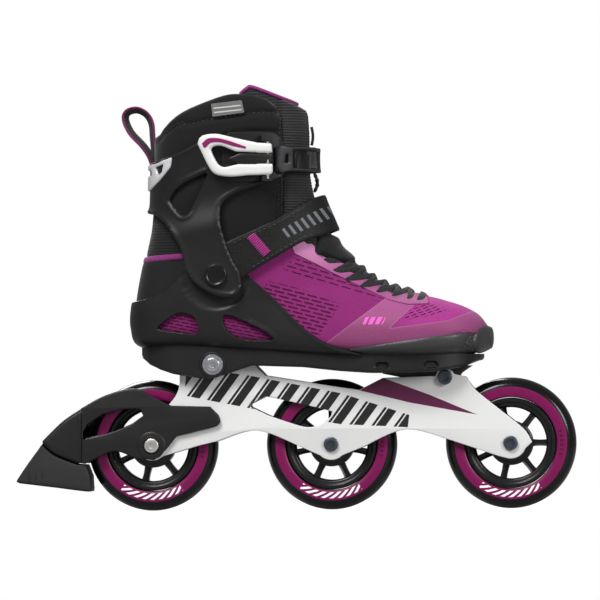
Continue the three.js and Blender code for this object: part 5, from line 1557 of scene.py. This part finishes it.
# %% Buckle
BASE_SIDE = outline(arc(-72, 280, 8, 90, 180), arc(-72, 258, 8, 180, 270), (-44, 251.4), bend((-41, 252.5), (-37, 254),
                    (-36, 258)), (-36, 280), bend((-36.6, 284), (-39, 286.6), (-44, 287.6)))
LEVER_OUTSIDE = outline(
    bend((-98.4, 279.4), (-95.4, 285), (-84, 286.8), (-67, 283), (-52, 279.8)), (-42, 279.3), (-41, 278.4),
    (-40.5, 273), (-40.5, 257.6), (-42, 255.6), bend((-60, 255.2), (-74, 254.2), (-85.6, 256.6), (-91.4, 264.6)))
LEVER_INSIDE = outline(
    (-52, 272.5), bend((-69, 273.2), (-79, 277.4), (-85.6, 277.4), (-88, 274), (-82.6, 263.6), (-77, 261.3)),
    (-67, 263.6), (-52, 263.4))
TAB_NOTCH = outline((-52.3, 263.8), (-36, 263.8), (-36, 272.2), (-52.3, 272.2))
TAB_SIDE = outline((-75, 268), (-66, 271.8), (-41, 271.8), (-41, 264.2), (-66, 264.2))
INLAY_SIDE = outline(bend((-94.4, 279.6), (-89, 283.4), (-78, 282.6), (-60.5, 276.6)), (-61.5, 275.4),
                     bend((-71, 277.4), (-80, 280.2), (-87.4, 280), (-91.4, 276.6)), (-92.8, 275.4))
LADDER_SIDE = outline((-60, 258), (30, 258), (30, 276.5), (-60, 276.5))
OUTER = dict(t=(0.3, 3.4), g=(0.02, 0.5), only=-1)


def ears(z0, z1):
    """One of the two lugs that carry the lever's pin."""
    return patch(outline((-49, z0), (-41, z0), (-41, z1), (-49, z1)), 4.8, 12.8, step=0.7, **OUTER)[:2]


base_points, base_faces, _ = patch(BASE_SIDE, 3.9, 5.2, step=1.0, **OUTER)
piece("buckle_base_plate", join((base_points, base_faces), ears(250.5, 254.4), ears(280.9, 285.5)), black_plastic,
      "cuff", ("buckle_base",), bevel=0.3)
shape = patch(LEVER_OUTSIDE, 8.9, 13.2, step=0.8, holes=(LEVER_INSIDE, TAB_NOTCH), **OUTER, relief=rounded(1.3, 3.0))
piece("buckle_lever_white", shape, white_plastic, "buckle_lever", ("buckle_lever",), bevel=0.3)
shape = patch(TAB_SIDE, 8.9, 12.0, step=0.8, **OUTER, relief=rounded(0.6, 2.0))
piece("buckle_tab_moulded", shape, black_plastic, "release_tab", ("buckle_release_tab",), bevel=0.2)
inlay_finish = moulded_plastic("purple inlay", (0.21, 0.012, 0.10), 0.35, 0.6, 0.005)
shape = patch(INLAY_SIDE, 12.6, 13.6, step=0.6, **OUTER)
piece("buckle_lever_crescent", shape, inlay_finish, "buckle_lever", ("buckle_lever_inlay",))

# %% [markdown]
# ## Toothed strap
# The toothed strap comes round from the far side and ends in a catch that the buckle draws in. The teeth are ridges
# across the strap, worked out from the distance round the boot, so they stay even where the strap bends.

# %% Toothed strap and catch
catch_plastic = moulded_plastic("dark grey nylon", (0.026, 0.026, 0.029), 0.36)


def ladder_relief(depth, _, __, v):
    """Ridges 2.6 mm apart inside a plain rim."""
    tooth = np.abs((v / 2.6) % 1 - 0.5) * 2
    return np.where((depth > 2.6) & (np.abs(v) < 50), 1.7 * tooth - 1.3, 0.5 * crown(depth, 1.2) - 0.1)


shape = patch(LADDER_SIDE, 5.6, 7.9, t=(0.6, 3.2), g=(-0.42, 0.42), step=0.65, relief=ladder_relief,
              trim=lambda p: np.where(p[..., 1] < 0, p[..., 0] + 39, DEEP))
piece("ladder_strap_toothed", shape, black_plastic, "cuff", ("ladder_strap",), sharp=25)
CATCH_SIDE = outline((-34.7, 256.8), (-26.8, 258.8), (-9, 258.2), (-9, 259.8), (-25.6, 260.6), (-25.6, 274.8),
                     (-9, 275.2), (-9, 276.8), (-26.8, 276.6), (-34.7, 278), (-37, 272.6), (-37.6, 261.6))
shape = patch(CATCH_SIDE, 8.5, 10.2, t=(0.6, 3.2), g=(0.005, 0.4), step=0.7, only=-1,
              holes=(outline((-32, 264.6), (-29, 264.6), (-29, 272), (-31, 271)),), relief=rounded(0.5, 1.5))
piece("strap_catch_moulded", shape, catch_plastic, "cuff", ("strap_catch",), bevel=0.2)
dress(bright_steel, "buckle_pin", "ladder_strap_screw")
dress(black_plastic, "instep_strap_ring")

# %% [markdown]
# ## Pull loop, tabs and label
# A webbing loop at the heel pulls the boot on. It is a flat woven band with purple edges, drawn out along one
# line. A short tab and a twisted loop sit on the front of the tongue, and a woven label is sewn to the collar.

# %% Loop, tabs and label
LOOP_FLARE = np.radians(22)


def webbing():
    """Black webbing with purple selvedges: cross ribs, and the colour changes by the distance from the middle."""
    material, tree, shader = finish("loop webbing", 0.8, Sheen_Weight=0.1, Specular_IOR_Level=0.2)
    _, (x, y, z) = place_mm(tree)
    edge = smooth(tree, calc(tree, "ABSOLUTE", y), 3.7, 4.0)
    ribs = stripes(tree, plus(tree, x, z), 1.4, 0.8, 0.5)
    black = blend_colours(tree, ribs, (0.005, 0.005, 0.0055), (0.014, 0.014, 0.015))
    purple = blend_colours(tree, ribs, (0.10, 0.009, 0.055), (0.22, 0.025, 0.13))
    feed(tree, shader, blend_colours(tree, edge, black, purple), None, ribs, 0.25)
    return material


loop_line = bend((-134.6, 264), (-135, 274), (-136, 286), (-137, 297), (-141, 304), (-148, 307.4),
                 (-155, 305.6), (-156.8, 300), (-152.4, 290), (-143.6, 280.4), (-138.4, 273), (-135.6, 266), steps=8)
path = np.column_stack([loop_line[:, 0], np.zeros(len(loop_line)), loop_line[:, 1]])
outward = np.cross(directions(path), [0.0, 1.0, 0.0])
side = np.cos(LOOP_FLARE) * np.array([0.0, 1.0, 0.0]) + np.sin(LOOP_FLARE) * outward
piece("pull_loop_webbing", drawn_out(path, side, np.cross(directions(path), side), 11.4, 1.9, round_count=14,
                                      power=0.5), webbing(), "cuff", ("heel_pull_loop",), sharp=50)

tab_path = np.column_stack([np.full(9, -13.9) + np.sin(np.linspace(0, np.pi, 9)) * 1.0, np.zeros(9),
                            np.linspace(279, 293, 9)])
tab_side = np.tile([0.0, 1.0, 0.0], (9, 1))
cord_path = np.column_stack([-12.2 + 2.4 * np.sin(np.linspace(0, np.pi, 24)),
                             1.2 * np.sin(np.linspace(0, 4 * np.pi, 24)), np.linspace(257.5, 243, 24)])
cord_side = np.tile([0.0, 1.0, 0.0], (24, 1))
piece("tongue_tab", drawn_out(tab_path, tab_side, np.cross(directions(tab_path), tab_side), 11.0, 2.0, power=0.5),
      lace_finish, "cuff")
tongue_loop = piece("tongue_lace_loop", drawn_out(
    cord_path, cord_side, np.cross(directions(cord_path), cord_side), 4.4, 3.4,
    taper=1 - 0.35 * np.abs(np.linspace(-1, 1, 24))**4), lace_finish, "cuff")
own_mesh(tongue_loop)


def woven_label():
    """A grey woven label: a thread weave and a few pale lines in place of writing."""
    material, tree, shader = finish("woven label", 0.6, Sheen_Weight=0.2)
    _, (x, _, z) = place_mm(tree)
    level = minus(tree, z, times(tree, x, 0.10))
    lines = stripes(tree, level, 3.3, 0.9, 0.3)
    lines = times(tree, lines, smooth(tree, mark(tree, "cloth")[1][2], 1.4, 1.8))
    weave = stripes(tree, x, 0.8, 0.4, 0.3)
    colour = blend_colours(tree, weave, (0.09, 0.088, 0.082), (0.15, 0.148, 0.14))
    feed(tree, shader, blend_colours(tree, lines, colour, (0.5, 0.5, 0.48)), None, weave, 0.1)
    return material


shape = patch(outline((-88, 310), (-64.5, 312.5), (-62.5, 303), (-87, 300)), 0.2, 1.2, t=(0, 1.4), g=(0.05, 0.45),
              step=0.7, only=-1)
piece("collar_label_woven", shape, woven_label(), "cuff", ("collar_label",), bevel=0.2)
